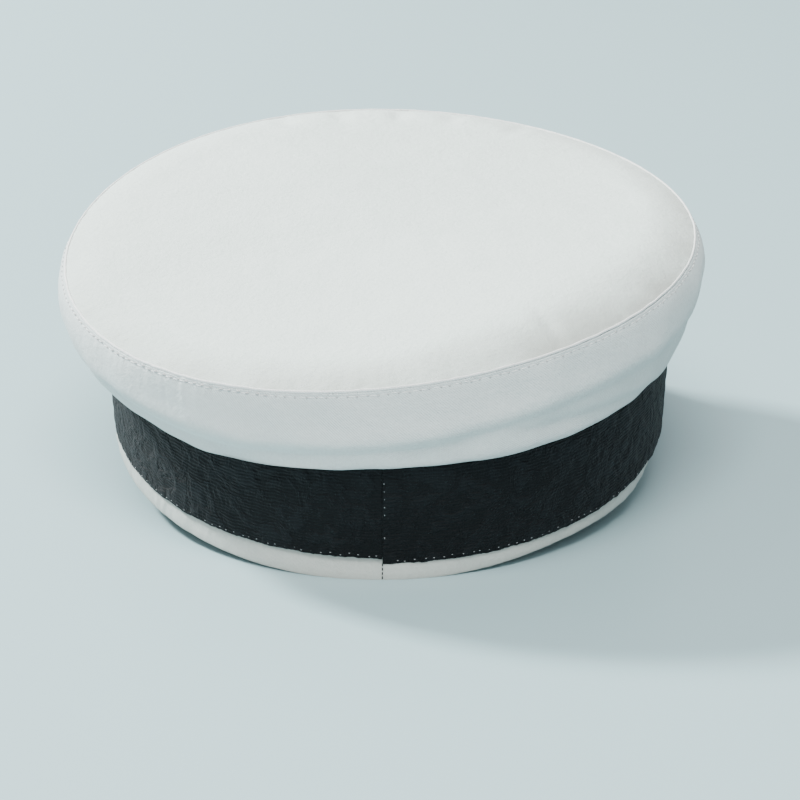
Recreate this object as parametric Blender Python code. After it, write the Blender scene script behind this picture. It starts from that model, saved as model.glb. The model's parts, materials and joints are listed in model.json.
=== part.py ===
"""Military peaked cap, modelled as the separate pieces it is sewn and riveted from.

Units are metres, +Z is up and the wearer looks along -Y. The cap stands as it does on a shelf:
the rear hem lies on the surface, and the front edge of the peak holds the front up. Everything is
laid out in the cap's own frame, whose XY plane is the lower edge of the band, and one empty leans
that frame back by the pitch. Angles around the cap start at the front and grow towards the
wearer's left (+X).
"""
from math import cos, exp, pi, radians, sin, tan

import bmesh
import bpy
from mathutils import Matrix, Vector

# How the cap stands
CAP_PITCH = radians(6.8)
CAP_CENTRE_X = -0.0025
CAP_CENTRE_Y = 0.0176
HEM_PRESSED = 0.0003          # the rear hem is pressed flat by this much

# Band: an oval ring that flares a little towards its top
BAND_HALF_WIDTH = 0.0886
BAND_HALF_LENGTH = 0.1045
BAND_FLARE = 0.055
BAND_FLARE_SIDE = 0.040
BAND_HEIGHT = 0.0384
HEM_STRIP = 0.0057            # white strip left free below the black band
GAP = 0.0003                  # clearance between neighbouring pieces
FACING_GAP = 0.002            # half the angle between the black band's ends at the back

# Depth of each band layer below the outer face of the black band: (outer, inner)
MOHAIR_LAYER = (0.0000, 0.0010)
BASE_LAYER = (0.0013, 0.0022)
HEM_LAYER = (0.0006, 0.0034)
STIFFENER_LAYER = (0.0025, 0.0033)
LINING_EDGE_DEPTH = 0.0037
LINING_THICK = 0.0006
SWEATBAND_FOOT_DEPTH = 0.0037
SWEATBAND_DEPTH = 0.0050
SWEATBAND_THICK = 0.0011
SWEATBAND_HEIGHT = 0.0360

# Ribbon bow and size tab on the sweatband, at the back
BOW_HALF_SPAN = 0.11
BOW_LEVEL = 0.018
BOW_STEPS = 12
LABEL_SPAN = (radians(150), radians(162))
LABEL_LEVELS = (0.010, 0.022)
LABEL_THICK = 0.0004

# Crown rim: a slightly egg-shaped, slightly twisted oval
RIM_HALF_WIDTH = 0.0996
RIM_HALF_LENGTH = 0.1073
RIM_CENTRE_X = 0.0028
RIM_CENTRE_Y = -0.0040
RIM_HEIGHT = 0.0627
RIM_EGG = -0.028
RIM_ROLL = tan(radians(2.8))
RIM_PITCH = tan(radians(0.4))
RIM_TWIST = 0.0025
WELT_RADIUS = 0.0008

# Crown side: the cloth swells out above the band, and sags furthest on the wearer's left
CLOTH_THICK = 0.0010
SIDE_START = 0.0008           # how far above the black band the cloth starts
SIDE_SWELL_LOW = 0.0085
SIDE_SWELL_HIGH = 0.0035
SIDE_RISE_LOW = 0.0010
SIDE_DROP_HIGH = 0.0085
SIDE_SAG = 0.0050
SIDE_SAG_ANGLE = radians(105)
SIDE_HANG = 0.0068
SIDE_HANG_ANGLE = radians(150)
SIDE_HANG_SPREAD = radians(30)
SIDE_BULGE_LEFT = 0.0032
SIDE_BULGE_LEFT_ANGLE = radians(98)
SIDE_BULGE_RIGHT = 0.0042
SIDE_BULGE_RIGHT_ANGLE = radians(262)
SIDE_BULGE_SPREAD = radians(30)
SIDE_STEPS = 5
SIDE_SEAM = radians(66)       # the front piece ends here on both sides
SIDE_SEAM_GAP = 0.004         # angle left open beside the seam

# Stiffeners inside the crown
STAY_HALF_SPAN = radians(15)
STAY_THICK = 0.0008
HOOP_NEAR = 0.0026            # inset of the hoop's outer face from the rim
HOOP_FAR = 0.0042
HOOP_TOP = -0.0026            # level of the hoop's edges below the rim
HOOP_BASE = -0.0054
HOOP_OPENING = 0.006          # half the angle left open at the back
SLEEVE_REACH = 0.075          # half the angle that the sleeve covers
SLEEVE_WALL = 0.0009

# Lining, with its turned edge inside the band and its gathered edge under the rim
LINING_FOOT = 0.030
LINING_BEND = 0.039
LINING_SHOULDER = (0.0090, -0.0125)
LINING_EDGE = (0.0170, -0.0075)
LINING_TOP_EDGE = (0.0180, -0.0074)
SHIELD_INSET = 0.0400
SHIELD_THICK = 0.0004

# Peak
PEAK_END = radians(57)
PEAK_REACH = 0.0500
PEAK_END_REACH = 0.0070
PEAK_SLOPE = radians(32.8)
PEAK_SLOPE_SIDES = radians(8.0)
PEAK_CAMBER = 0.0016
PEAK_THICK = 0.0018
PEAK_LINING_THICK = 0.0007
BINDING_LEG = 0.0036
BINDING_WALL = 0.0009

# Chin strap, its keepers and the side buttons
STRAP_LOW = 0.0016
STRAP_HIGH = 0.0136
STRAP_LAYERS = {"left": (0.0022, 0.0033), "right": (0.0036, 0.0047)}
STRAP_LAP = radians(26)
BUTTON_ANGLE = radians(64)
BUTTON_HEIGHT = 0.0080
BUTTON_RADIUS = 0.0075
BUTTON_STANDOFF = 0.0053
SHANK_RADIUS = 0.0011
STRAP_TAB_END = radians(68.5)
KEEPER_ANGLE = radians(20)
KEEPER_LENGTH = 0.0080
KEEPER_WALL = 0.0008

# Badge on the front of the crown
BADGE_RADIUS = 0.0120
BADGE_POSITION = 0.52         # share of the way up the crown side
POST_RADIUS = 0.0010

SEGMENTS = 60
STEP = 2 * pi / SEGMENTS
UP = Vector((0, 0, 1))


# ---------------------------------------------------------------- shapes of the cap as formulas

def band_point(phi, offset, height):
    """Point of the band, offset outward from the black band's face."""
    x = (BAND_HALF_WIDTH + offset + BAND_FLARE_SIDE * height) * sin(phi)
    y = -(BAND_HALF_LENGTH + offset + BAND_FLARE * height) * cos(phi)
    return Vector((x, y, height))


def outward(phi):
    """Level direction straight out of the band."""
    return Vector((sin(phi) / BAND_HALF_WIDTH, -cos(phi) / BAND_HALF_LENGTH, 0)).normalized()


def band_normal(phi):
    """Direction straight out of the flared band face."""
    return (outward(phi) - BAND_FLARE * UP).normalized()


def curvature_centre(phi, offset):
    """Centre of the arc that the band follows near phi."""
    speed_squared = (BAND_HALF_WIDTH * cos(phi)) ** 2 + (BAND_HALF_LENGTH * sin(phi)) ** 2
    radius = speed_squared ** 1.5 / (BAND_HALF_WIDTH * BAND_HALF_LENGTH) + offset
    middle = (STRAP_LOW + STRAP_HIGH) / 2
    return band_point(phi, offset, middle) - radius * outward(phi)


def rim_point(phi, inset=0.0, lift=0.0):
    """Point of the crown rim, inset towards the middle and lifted above the seam."""
    x = (RIM_HALF_WIDTH * (1 + RIM_EGG * cos(phi)) - inset) * sin(phi)
    y = -(RIM_HALF_LENGTH - inset) * cos(phi)
    z = RIM_HEIGHT - RIM_ROLL * x - RIM_PITCH * y + RIM_TWIST * sin(2 * phi) + lift
    return Vector((RIM_CENTRE_X + x, RIM_CENTRE_Y + y, z))


def rim_middle(lift):
    """Middle of the crown at the level of the rim."""
    return Vector((RIM_CENTRE_X, RIM_CENTRE_Y, RIM_HEIGHT + lift))


def near_angle(phi, centre, spread):
    """1 at an angle around the cap, falling smoothly to 0 away from it."""
    away = (phi - centre + pi) % (2 * pi) - pi
    return exp(-(away / spread) ** 2)


def side_frame(phi, share):
    """Point and normal of the crown side, from the band (share 0) to the rim (share 1)."""
    out = outward(phi)
    sag = SIDE_SAG * (0.5 + 0.5 * cos(phi - SIDE_SAG_ANGLE)) ** 3
    sag += SIDE_HANG * near_angle(phi, SIDE_HANG_ANGLE, SIDE_HANG_SPREAD)
    swell_high = SIDE_SWELL_HIGH
    swell_high += SIDE_BULGE_LEFT * near_angle(phi, SIDE_BULGE_LEFT_ANGLE, SIDE_BULGE_SPREAD)
    swell_high += SIDE_BULGE_RIGHT * near_angle(phi, SIDE_BULGE_RIGHT_ANGLE, SIDE_BULGE_SPREAD)
    low = band_point(phi, -MOHAIR_LAYER[1] / 2, BAND_HEIGHT + SIDE_START)
    low_pull = low + SIDE_SWELL_LOW * out + (SIDE_RISE_LOW - sag) * UP
    high = rim_point(phi, 0.0, -WELT_RADIUS - GAP)
    high_pull = high + swell_high * out - SIDE_DROP_HIGH * UP
    rest = 1 - share
    point = (rest ** 3 * low + 3 * rest ** 2 * share * low_pull
             + 3 * rest * share ** 2 * high_pull + share ** 3 * high)
    along = (rest ** 2 * (low_pull - low) + 2 * rest * share * (high_pull - low_pull)
             + share ** 2 * (high - high_pull))
    normal = (along.z * out - along.dot(out) * UP).normalized()
    return point, normal


def side_point(phi, share, depth):
    """Point of the crown side, at a depth below its outer face."""
    point, normal = side_frame(phi, share)
    return point - depth * normal


def peak_fullness(phi):
    """How far the peak stands out at an angle, from 0 at its ends to 1 in the middle."""
    return max(0.0, 1 - abs(phi / PEAK_END) ** 2.2) ** 0.7


def peak_reach(phi):
    """Width of the peak at an angle."""
    return PEAK_END_REACH + (PEAK_REACH - PEAK_END_REACH) * peak_fullness(phi)


def peak_frame(phi, reach_share):
    """Point of the peak's upper face, its normal and its direction away from the band."""
    across = phi / PEAK_END
    fullness = peak_fullness(phi)
    reach = peak_reach(phi)
    slope = PEAK_SLOPE + PEAK_SLOPE_SIDES * across ** 2
    out = outward(phi)
    away = cos(slope) * out - sin(slope) * UP
    normal = sin(slope) * out + cos(slope) * UP
    root = band_point(phi, -0.0002, 0.0009)
    camber = 4 * PEAK_CAMBER * reach_share * (1 - reach_share) * fullness
    return root + reach_share * reach * away + camber * normal, normal, away


# ---------------------------------------------------------------- mesh building

def new_object(name, mesh_builder, material, parent, origin=None):
    """Turn a bmesh into a named object; with an origin, its mesh is measured from that point."""
    if origin is not None:
        bmesh.ops.translate(mesh_builder, vec=-origin, verts=mesh_builder.verts)
    bmesh.ops.recalc_face_normals(mesh_builder, faces=mesh_builder.faces)
    mesh = bpy.data.meshes.new(name)
    mesh_builder.to_mesh(mesh)
    mesh_builder.free()
    mesh.shade_smooth()
    mesh.set_sharp_from_angle(angle=radians(38))
    mesh.materials.append(material)
    piece = bpy.data.objects.new(name, mesh)
    bpy.context.scene.collection.objects.link(piece)
    piece.parent = parent
    return piece


def loft(sections, closed):
    """Skin a row of equal cross-sections; an open row gets flat ends."""
    builder = bmesh.new()
    rows = [[builder.verts.new(point) for point in section] for section in sections]
    count = len(rows[0])
    pairs = list(zip(rows, rows[1:]))
    if closed:
        pairs.append((rows[-1], rows[0]))
    for row, following in pairs:
        for i in range(count):
            j = (i + 1) % count
            builder.faces.new((row[i], row[j], following[j], following[i]))
    if not closed:
        builder.faces.new(rows[0])
        builder.faces.new(reversed(rows[-1]))
    return builder


def angles(start, end, step=STEP):
    """Evenly spaced angles from start to end, about one step apart."""
    count = max(2, round((end - start) / step))
    return [start + (end - start) * i / count for i in range(count + 1)]


def full_turn():
    """Angles all the way round, without repeating the first."""
    return [i * STEP for i in range(SEGMENTS)]


def band_strip(name, profile, material, parent):
    """Closed ring whose profile is a list of (offset, height) pairs."""
    sections = [[band_point(phi, offset, height) for offset, height in profile]
                for phi in full_turn()]
    return new_object(name, loft(sections, True), material, parent)


def panel(name, upper, thick, material, parent):
    """Oval panel under the rim; upper lists (inset, lift) from the edge to the middle."""
    builder = bmesh.new()
    middle_lift = upper[-1][1]
    rings = [[builder.verts.new(rim_point(phi, inset, lift)) for phi in full_turn()]
             for inset, lift in upper[:-1]]
    rings.reverse()
    top = builder.verts.new(rim_middle(middle_lift))
    rings += [[builder.verts.new(rim_point(phi, inset, lift - thick)) for phi in full_turn()]
              for inset, lift in upper[:-1]]
    base = builder.verts.new(rim_middle(middle_lift - thick))
    for i in range(SEGMENTS):
        j = (i + 1) % SEGMENTS
        builder.faces.new((top, rings[0][i], rings[0][j]))
        builder.faces.new((base, rings[-1][j], rings[-1][i]))
        for ring, following in zip(rings, rings[1:]):
            builder.faces.new((ring[i], following[i], following[j], ring[j]))
    return new_object(name, builder, material, parent)


def lathe(profile, segments):
    """Turn a profile of (radius, height) pairs that starts and ends on the axis."""
    builder = bmesh.new()
    first = builder.verts.new((0, 0, profile[0][1]))
    last = builder.verts.new((0, 0, profile[-1][1]))
    rings = []
    for radius, height in profile[1:-1]:
        ring = []
        for i in range(segments):
            angle = 2 * pi * i / segments
            ring.append(builder.verts.new((radius * cos(angle), radius * sin(angle), height)))
        rings.append(ring)
    for i in range(segments):
        j = (i + 1) % segments
        builder.faces.new((first, rings[0][i], rings[0][j]))
        builder.faces.new((last, rings[-1][j], rings[-1][i]))
        for ring, following in zip(rings, rings[1:]):
            builder.faces.new((ring[i], following[i], following[j], ring[j]))
    return builder


def box(size, centre=(0, 0, 0)):
    """Box of the given size about a centre."""
    builder = bmesh.new()
    place = Matrix.Translation(centre) @ Matrix.Diagonal((*size, 1))
    bmesh.ops.create_cube(builder, size=1, matrix=place)
    return builder


def aim(piece, point, direction):
    """Stand a piece at a point with its own Z along a direction."""
    piece.location = point
    piece.rotation_mode = "QUATERNION"
    piece.rotation_quaternion = direction.to_track_quat("Z", "Y")


def make_cutter(name, builder, parent):
    """Turn a bmesh into a cutter, which is shown as wire and never rendered."""
    cutter = new_object(name, builder, MATERIALS["cutter"], parent)
    cutter.hide_render = True
    cutter.display_type = "WIRE"
    return cutter


def cut(piece, cutter):
    """Take the cutter's shape out of a piece."""
    difference = piece.modifiers.new(cutter.name, "BOOLEAN")
    difference.operation = "DIFFERENCE"
    difference.solver = "EXACT"
    difference.object = cutter


def make_empty(name, location, parent):
    """Empty that marks a frame or a joint axis."""
    empty = bpy.data.objects.new(name, None)
    bpy.context.scene.collection.objects.link(empty)
    empty.empty_display_size = 0.01
    empty.location = location
    empty.parent = parent
    return empty


def make_material(name, colour, roughness, metallic=0.0):
    """Principled material of one colour."""
    material = bpy.data.materials.new(name)
    material.use_nodes = True
    shader = material.node_tree.nodes["Principled BSDF"]
    shader.inputs["Base Color"].default_value = (*colour, 1)
    shader.inputs["Roughness"].default_value = roughness
    shader.inputs["Metallic"].default_value = metallic
    material.diffuse_color = (*colour, 1)
    return material


# ---------------------------------------------------------------- crown

def build_crown(cap):
    """Top panel, side pieces, welt, hoop, interlining, lining, stay and badge."""
    cotton = MATERIALS["white_cotton"]
    top_profile = [(0.0013, 0.0002), (0.0050, 0.0014), (0.0150, 0.0024), (0.0500, 0.0021),
                   (None, 0.0016)]
    panel("crown_top", top_profile, 0.0012, cotton, cap)

    shares = [i / SIDE_STEPS for i in range(SIDE_STEPS + 1)]
    spans = {"crown_side_rear": (SIDE_SEAM, 2 * pi - SIDE_SEAM),
             "crown_side_front": (-SIDE_SEAM + SIDE_SEAM_GAP, SIDE_SEAM - SIDE_SEAM_GAP)}
    sides = {}
    for name, (start, end) in spans.items():
        sections = []
        for phi in angles(start, end):
            face = [side_point(phi, share, 0) for share in shares]
            back = [side_point(phi, share, CLOTH_THICK) for share in reversed(shares)]
            sections.append(face + back)
        sides[name] = new_object(name, loft(sections, False), cotton, cap)

    sections = []
    for phi in full_turn():
        centre = rim_point(phi)
        ring = []
        for i in range(6):
            turn = 2 * pi * (i + 0.5) / 6
            ring.append(centre + WELT_RADIUS * (cos(turn) * outward(phi) + sin(turn) * UP))
        sections.append(ring)
    new_object("rim_welt", loft(sections, True), cotton, cap)

    interlining = [(0.0070, 0.0001), (0.0150, 0.0008), (0.0500, 0.0004), (None, 0.0000)]
    panel("crown_interlining", interlining, 0.0012, MATERIALS["canvas"], cap)
    build_hoop(cap)
    build_lining(cap)

    stay_shares = [0.14 + 0.12 * i for i in range(7)]
    stay_face = CLOTH_THICK + 3 * GAP
    sections = []
    for phi in angles(-STAY_HALF_SPAN, STAY_HALF_SPAN):
        face = [side_point(phi, share, stay_face) for share in stay_shares]
        back = [side_point(phi, share, stay_face + STAY_THICK) for share in reversed(stay_shares)]
        sections.append(face + back)
    stay = new_object("front_stay", loft(sections, False), MATERIALS["board"], cap)
    build_badge(cap, sides["crown_side_front"], stay)


def hoop_section(phi, margin):
    """Rectangular section of the rim hoop, grown by a margin."""
    near, far = HOOP_NEAR - margin, HOOP_FAR + margin
    high, low = HOOP_TOP + margin, HOOP_BASE - margin
    corners = [(near, high), (near, low), (far, low), (far, high)]
    return [rim_point(phi, inset, lift) for inset, lift in corners]


def build_hoop(cap):
    """Sprung hoop inside the rim, open at the back, and the sleeve that joins its ends."""
    ends = (pi + HOOP_OPENING, 3 * pi - HOOP_OPENING)
    spring = loft([hoop_section(phi, 0) for phi in angles(*ends)], False)
    new_object("crown_hoop", spring, MATERIALS["steel"], cap)
    reach = SLEEVE_REACH
    body = loft([hoop_section(phi, SLEEVE_WALL) for phi in angles(pi - reach, pi + reach)], False)
    sleeve = new_object("hoop_sleeve", body, MATERIALS["brass"], cap)
    bore = loft([hoop_section(phi, GAP) for phi in angles(pi - 2 * reach, pi + 2 * reach)], False)
    cut(sleeve, make_cutter("hoop_sleeve_bore", bore, cap))


def build_lining(cap):
    """Lining side, lining top and the clear shield under it."""
    edge = LINING_EDGE_DEPTH
    thick = LINING_THICK
    shoulder, level = LINING_SHOULDER
    inset, lift = LINING_EDGE
    sections = []
    for phi in full_turn():
        sections.append([
            band_point(phi, -edge, LINING_FOOT), band_point(phi, -edge, LINING_BEND),
            rim_point(phi, shoulder, level), rim_point(phi, inset, lift),
            rim_point(phi, inset + thick, lift - thick),
            rim_point(phi, shoulder + thick, level - thick / 2),
            band_point(phi, -edge - thick, LINING_BEND),
            band_point(phi, -edge - thick, LINING_FOOT)])
    new_object("crown_lining_side", loft(sections, True), MATERIALS["lining"], cap)
    lining_top = [LINING_TOP_EDGE, (0.0500, -0.0065), (None, -0.0062)]
    panel("crown_lining_top", lining_top, thick, MATERIALS["lining"], cap)
    shield = [(SHIELD_INSET, -0.0077), (None, -0.0072)]
    panel("sweat_shield", shield, SHIELD_THICK, MATERIALS["clear_plastic"], cap)


def build_badge(cap, side, stay):
    """Plain domed badge on a screw post, and the thumb nut behind the stay."""
    point, normal = side_frame(0.0, BADGE_POSITION)
    seat = point + 0.0005 * normal
    rim = BADGE_RADIUS
    profile = [(0, 0.0030), (0.0040, 0.0028), (0.0075, 0.0020), (0.0088, 0.0012),
               (0.0096, 0.0014), (rim - 0.0008, 0.0020), (rim, 0.0012), (rim, 0.0004),
               (rim - 0.0006, 0), (POST_RADIUS, 0), (POST_RADIUS, -0.0085), (0, -0.0085)]
    badge = new_object("cap_badge", lathe(profile, 28), MATERIALS["gilt"], cap)
    aim(badge, seat, normal)
    nut_profile = [(0, -0.0068), (0.0042, -0.0068), (0.0045, -0.0064), (0.0045, -0.0046),
                   (0.0042, -0.0042), (0, -0.0042)]
    nut = new_object("badge_nut", lathe(nut_profile, 18), MATERIALS["brass"], cap)
    aim(nut, seat, normal)
    for piece, name in ((side, "badge_hole_side"), (stay, "badge_hole_stay"),
                        (nut, "badge_hole_nut")):
        tool = lathe([(0, 0.004), (POST_RADIUS + GAP, 0.004), (POST_RADIUS + GAP, -0.012),
                      (0, -0.012)], 16)
        cutter = make_cutter(name, tool, cap)
        aim(cutter, seat, normal)
        cut(piece, cutter)


# ---------------------------------------------------------------- band

def build_band(cap):
    """The layers of the band, from the black facing in to the sweatband."""
    top = BAND_HEIGHT
    step = HEM_STRIP - 0.0004
    hem_face, hem_back = HEM_LAYER
    face, back = BASE_LAYER
    hem = [(-hem_face - 0.0003, 0), (-hem_face, 0.0006), (-hem_face, step - 0.0005),
           (-hem_face - 0.0003, step), (-face, step), (-face, top), (-back, top),
           (-back, step - 0.0006), (-hem_back, step - 0.0006), (-hem_back, 0)]
    base = band_strip("base_band", hem, MATERIALS["white_cotton"], cap)
    floor = make_cutter("surface_cutter", box((0.5, 0.5, 0.1), (0, 0, -0.05)), None)
    cut(base, floor)

    mohair_face, mohair_back = MOHAIR_LAYER
    facing = []
    for phi in angles(-pi + FACING_GAP, pi - FACING_GAP):
        profile = [(-mohair_face, HEM_STRIP), (-mohair_face, top), (-mohair_back, top),
                   (-mohair_back, HEM_STRIP)]
        facing.append([band_point(phi, offset, height) for offset, height in profile])
    mohair = new_object("mohair_band", loft(facing, False), MATERIALS["black_mohair"], cap)

    board_face, board_back = STIFFENER_LAYER
    board = [(-board_face, HEM_STRIP), (-board_face, top), (-board_back, top),
             (-board_back, HEM_STRIP)]
    stiffener = band_strip("band_stiffener", board, MATERIALS["board"], cap)

    foot, depth, thick = SWEATBAND_FOOT_DEPTH, SWEATBAND_DEPTH, SWEATBAND_THICK
    leather = [(-foot, 0.0008), (-depth, 0.0045), (-depth, SWEATBAND_HEIGHT),
               (-depth - thick, SWEATBAND_HEIGHT), (-depth - thick, 0.0042),
               (-foot - thick, 0.0008)]
    band_strip("sweatband", leather, MATERIALS["leather"], cap)

    build_bow(cap)
    sections = []
    low, high = LABEL_LEVELS
    for phi in angles(*LABEL_SPAN):
        near = -depth - thick - GAP
        corners = [(near, low), (near, high), (near - LABEL_THICK, high),
                   (near - LABEL_THICK, low)]
        sections.append([band_point(phi, offset, height) for offset, height in corners])
    new_object("size_label", loft(sections, False), MATERIALS["ribbon"], cap)
    return floor, (mohair, base, stiffener)


def build_bow(cap):
    """Flat ribbon bow that closes the sweatband at the back."""
    middle = BOW_LEVEL
    near = -SWEATBAND_DEPTH - SWEATBAND_THICK - GAP
    sections = []
    for i in range(BOW_STEPS + 1):
        share = -1 + 2 * i / BOW_STEPS
        phi = pi + BOW_HALF_SPAN * share
        spread = 0.0016 + 0.0036 * abs(sin(pi * min(1, abs(share) * 0.62)))
        thick = 0.0020 - 0.0009 * abs(share)
        corners = [(near, middle - spread), (near, middle + spread),
                   (near - thick, middle + spread), (near - thick, middle - spread)]
        sections.append([band_point(phi, offset, height) for offset, height in corners])
    new_object("sweatband_bow", loft(sections, False), MATERIALS["ribbon"], cap)


# ---------------------------------------------------------------- peak

def build_peak(cap, floor):
    """Moulded shell, the cloth under it and the channel bound over their edge."""
    under = PEAK_THICK + GAP
    layers = {"peak_shell": (0, PEAK_THICK, MATERIALS["patent"]),
              "peak_lining": (under, under + PEAK_LINING_THICK, MATERIALS["peak_cloth"])}
    for name, (face, back, material) in layers.items():
        sections = []
        for phi in angles(-PEAK_END, PEAK_END):
            upper, lower = [], []
            bound = 1 - BINDING_LEG / peak_reach(phi)
            for share in (0, bound / 3, bound * 2 / 3, bound, 1):
                point, normal, _ = peak_frame(phi, share)
                if share == 0:
                    sink = 1 / normal.z
                    upper.append(point - face * sink * UP)
                    lower.append(point - back * sink * UP)
                else:
                    upper.append(point - face * normal)
                    lower.append(point - back * normal)
            sections.append(upper + lower[::-1])
        new_object(name, loft(sections, False), material, cap)

    edge = under + PEAK_LINING_THICK + GAP
    wall = BINDING_WALL
    leg_top = [(0, GAP), (0, GAP + wall * 0.6), (0.0005, GAP + wall)]
    rim = [(GAP, GAP + wall), (GAP + wall * 0.7, GAP + wall * 0.3), (GAP + wall, -edge / 2),
           (GAP + wall * 0.7, -edge - wall * 0.3), (GAP, -edge - wall)]
    leg_base = [(0.0005, -edge - wall), (0, -edge - wall * 0.6), (0, -edge)]
    inside = [(GAP, -edge), (GAP, GAP)]
    sections = []
    for phi in angles(-PEAK_END, PEAK_END):
        bound = 1 - BINDING_LEG / peak_reach(phi)
        section = []
        for share, outline in ((bound, leg_top), (1, rim), (bound, leg_base), (1, inside)):
            point, normal, away = peak_frame(phi, share)
            section += [point + along * away + up * normal for along, up in outline]
        sections.append(section)
    binding = new_object("peak_binding", loft(sections, False), MATERIALS["patent"], cap)
    cut(binding, floor)


# ---------------------------------------------------------------- chin strap and buttons

def build_strap(cap, band_layers):
    """Two lapped half straps, two keepers that slide on them and two turning buttons."""
    pivot = band_point(BUTTON_ANGLE, 0, BUTTON_HEIGHT)
    strap_axis = make_empty("chin_strap_axis", Vector((0, pivot.y, pivot.z)), cap)
    for side, sign in (("left", 1), ("right", -1)):
        near, far = STRAP_LAYERS[side]
        span = angles(-STRAP_LAP, STRAP_TAB_END, STEP / 2)
        sections = []
        for phi in span:
            taper = round_end(phi, STRAP_TAB_END, radians(4)) * round_end(-phi, STRAP_LAP,
                                                                         radians(3))
            half = (STRAP_HIGH - STRAP_LOW) / 2 * taper
            middle = (STRAP_LOW + STRAP_HIGH) / 2
            corners = [(near, middle - half), (far, middle - half), (far, middle + half),
                       (near, middle + half)]
            sections.append([band_point(sign * phi, offset, height)
                             for offset, height in corners])
        strap = new_object("chin_strap_" + side, loft(sections, False), MATERIALS["patent"],
                           strap_axis, strap_axis.location)
        build_button(cap, side, sign, strap, band_layers)
        build_keeper(side, sign, strap_axis)


def round_end(phi, end, length):
    """Width share near a rounded strap end."""
    left = (end - phi) / length
    if left >= 1:
        return 1.0
    return 0.45 + 0.55 * (1 - (1 - max(0.0, left)) ** 2) ** 0.5


def build_keeper(side, sign, strap_axis):
    """Loop around both half straps, turning about the centre of the arc it slides on."""
    phi = sign * KEEPER_ANGLE
    inner = STRAP_LAYERS["left"][0] - GAP
    outer = STRAP_LAYERS["right"][1] + GAP
    middle = (inner + outer) / 2
    height = (STRAP_LOW + STRAP_HIGH) / 2
    centre = curvature_centre(phi, middle)
    keeper_axis = make_empty("strap_keeper_axis_" + side, centre - strap_axis.location, strap_axis)
    hole = (KEEPER_LENGTH * 3, outer - inner, STRAP_HIGH - STRAP_LOW + 2 * GAP)
    shell = (KEEPER_LENGTH, hole[1] + 2 * KEEPER_WALL, hole[2] + 2 * KEEPER_WALL)
    body = box(shell)
    bmesh.ops.bevel(body, geom=body.edges[:], offset=0.0004, segments=2, affect="EDGES",
                    profile=0.5)
    keeper = new_object("strap_keeper_" + side, body, MATERIALS["patent"], keeper_axis)
    normal = band_normal(phi)
    along = normal.cross(UP).normalized()
    place = Matrix((along, normal, along.cross(normal))).transposed()
    seat = band_point(phi, middle, height) - centre
    bore = make_cutter("strap_keeper_bore_" + side, box(hole), keeper_axis)
    for piece in (keeper, bore):
        piece.matrix_local = Matrix.Translation(seat) @ place.to_4x4()
    cut(keeper, bore)


def build_button(cap, side, sign, strap, band_layers):
    """Domed button whose shank goes through strap and band, and the split pin that holds it."""
    phi = sign * BUTTON_ANGLE
    pivot = band_point(phi, 0, BUTTON_HEIGHT)
    normal = band_normal(phi)
    back = BUTTON_STANDOFF
    profile = [(0, back + 0.0036), (0.0030, back + 0.0033), (0.0055, back + 0.0024),
               (0.0066, back + 0.0015), (BUTTON_RADIUS, back + 0.0012),
               (BUTTON_RADIUS, back + 0.0004), (BUTTON_RADIUS - 0.0004, back),
               (SHANK_RADIUS, back), (SHANK_RADIUS, -0.0046), (0, -0.0046)]
    button = new_object("side_button_" + side, lathe(profile, 24), MATERIALS["gilt"], cap)
    aim(button, pivot, normal)

    pin_near, pin_far = -0.0037, -0.0044
    pin_body = box((0.0112, 0.0034, pin_near - pin_far), (0, 0, (pin_near + pin_far) / 2))
    corners = [edge for edge in pin_body.edges
               if abs(edge.verts[0].co.z - edge.verts[1].co.z) > 0.0005]
    bmesh.ops.bevel(pin_body, geom=corners, offset=0.0015, segments=4, affect="EDGES",
                    profile=0.5)
    pin = new_object("button_pin_" + side, pin_body, MATERIALS["brass"], cap)
    aim(pin, pivot, normal)

    holes = [(piece, SHANK_RADIUS + 0.0004) for piece in (*band_layers, pin)]
    holes.append((strap, SHANK_RADIUS + 0.0009))
    for piece, radius in holes:
        tool = lathe([(0, 0.006), (radius, 0.006), (radius, -0.006), (0, -0.006)], 16)
        cutter = make_cutter(piece.name + "_hole_" + side, tool, cap)
        aim(cutter, pivot, normal)
        cut(piece, cutter)


# ---------------------------------------------------------------- assembly

def clear_scene():
    """Take out whatever the scene holds."""
    for existing in list(bpy.data.objects):
        bpy.data.objects.remove(existing, do_unlink=True)


def build():
    """Build every piece under the empty that leans the cap back on its hem."""
    rest_line = BAND_HALF_LENGTH - HEM_LAYER[0] - HEM_PRESSED / tan(CAP_PITCH)
    lean = Vector((CAP_CENTRE_X, CAP_CENTRE_Y, rest_line * sin(CAP_PITCH)))
    cap = make_empty("cap_pose", lean, None)
    cap.rotation_euler = (-CAP_PITCH, 0, 0)
    build_crown(cap)
    floor, band_layers = build_band(cap)
    build_peak(cap, floor)
    build_strap(cap, band_layers)


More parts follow.
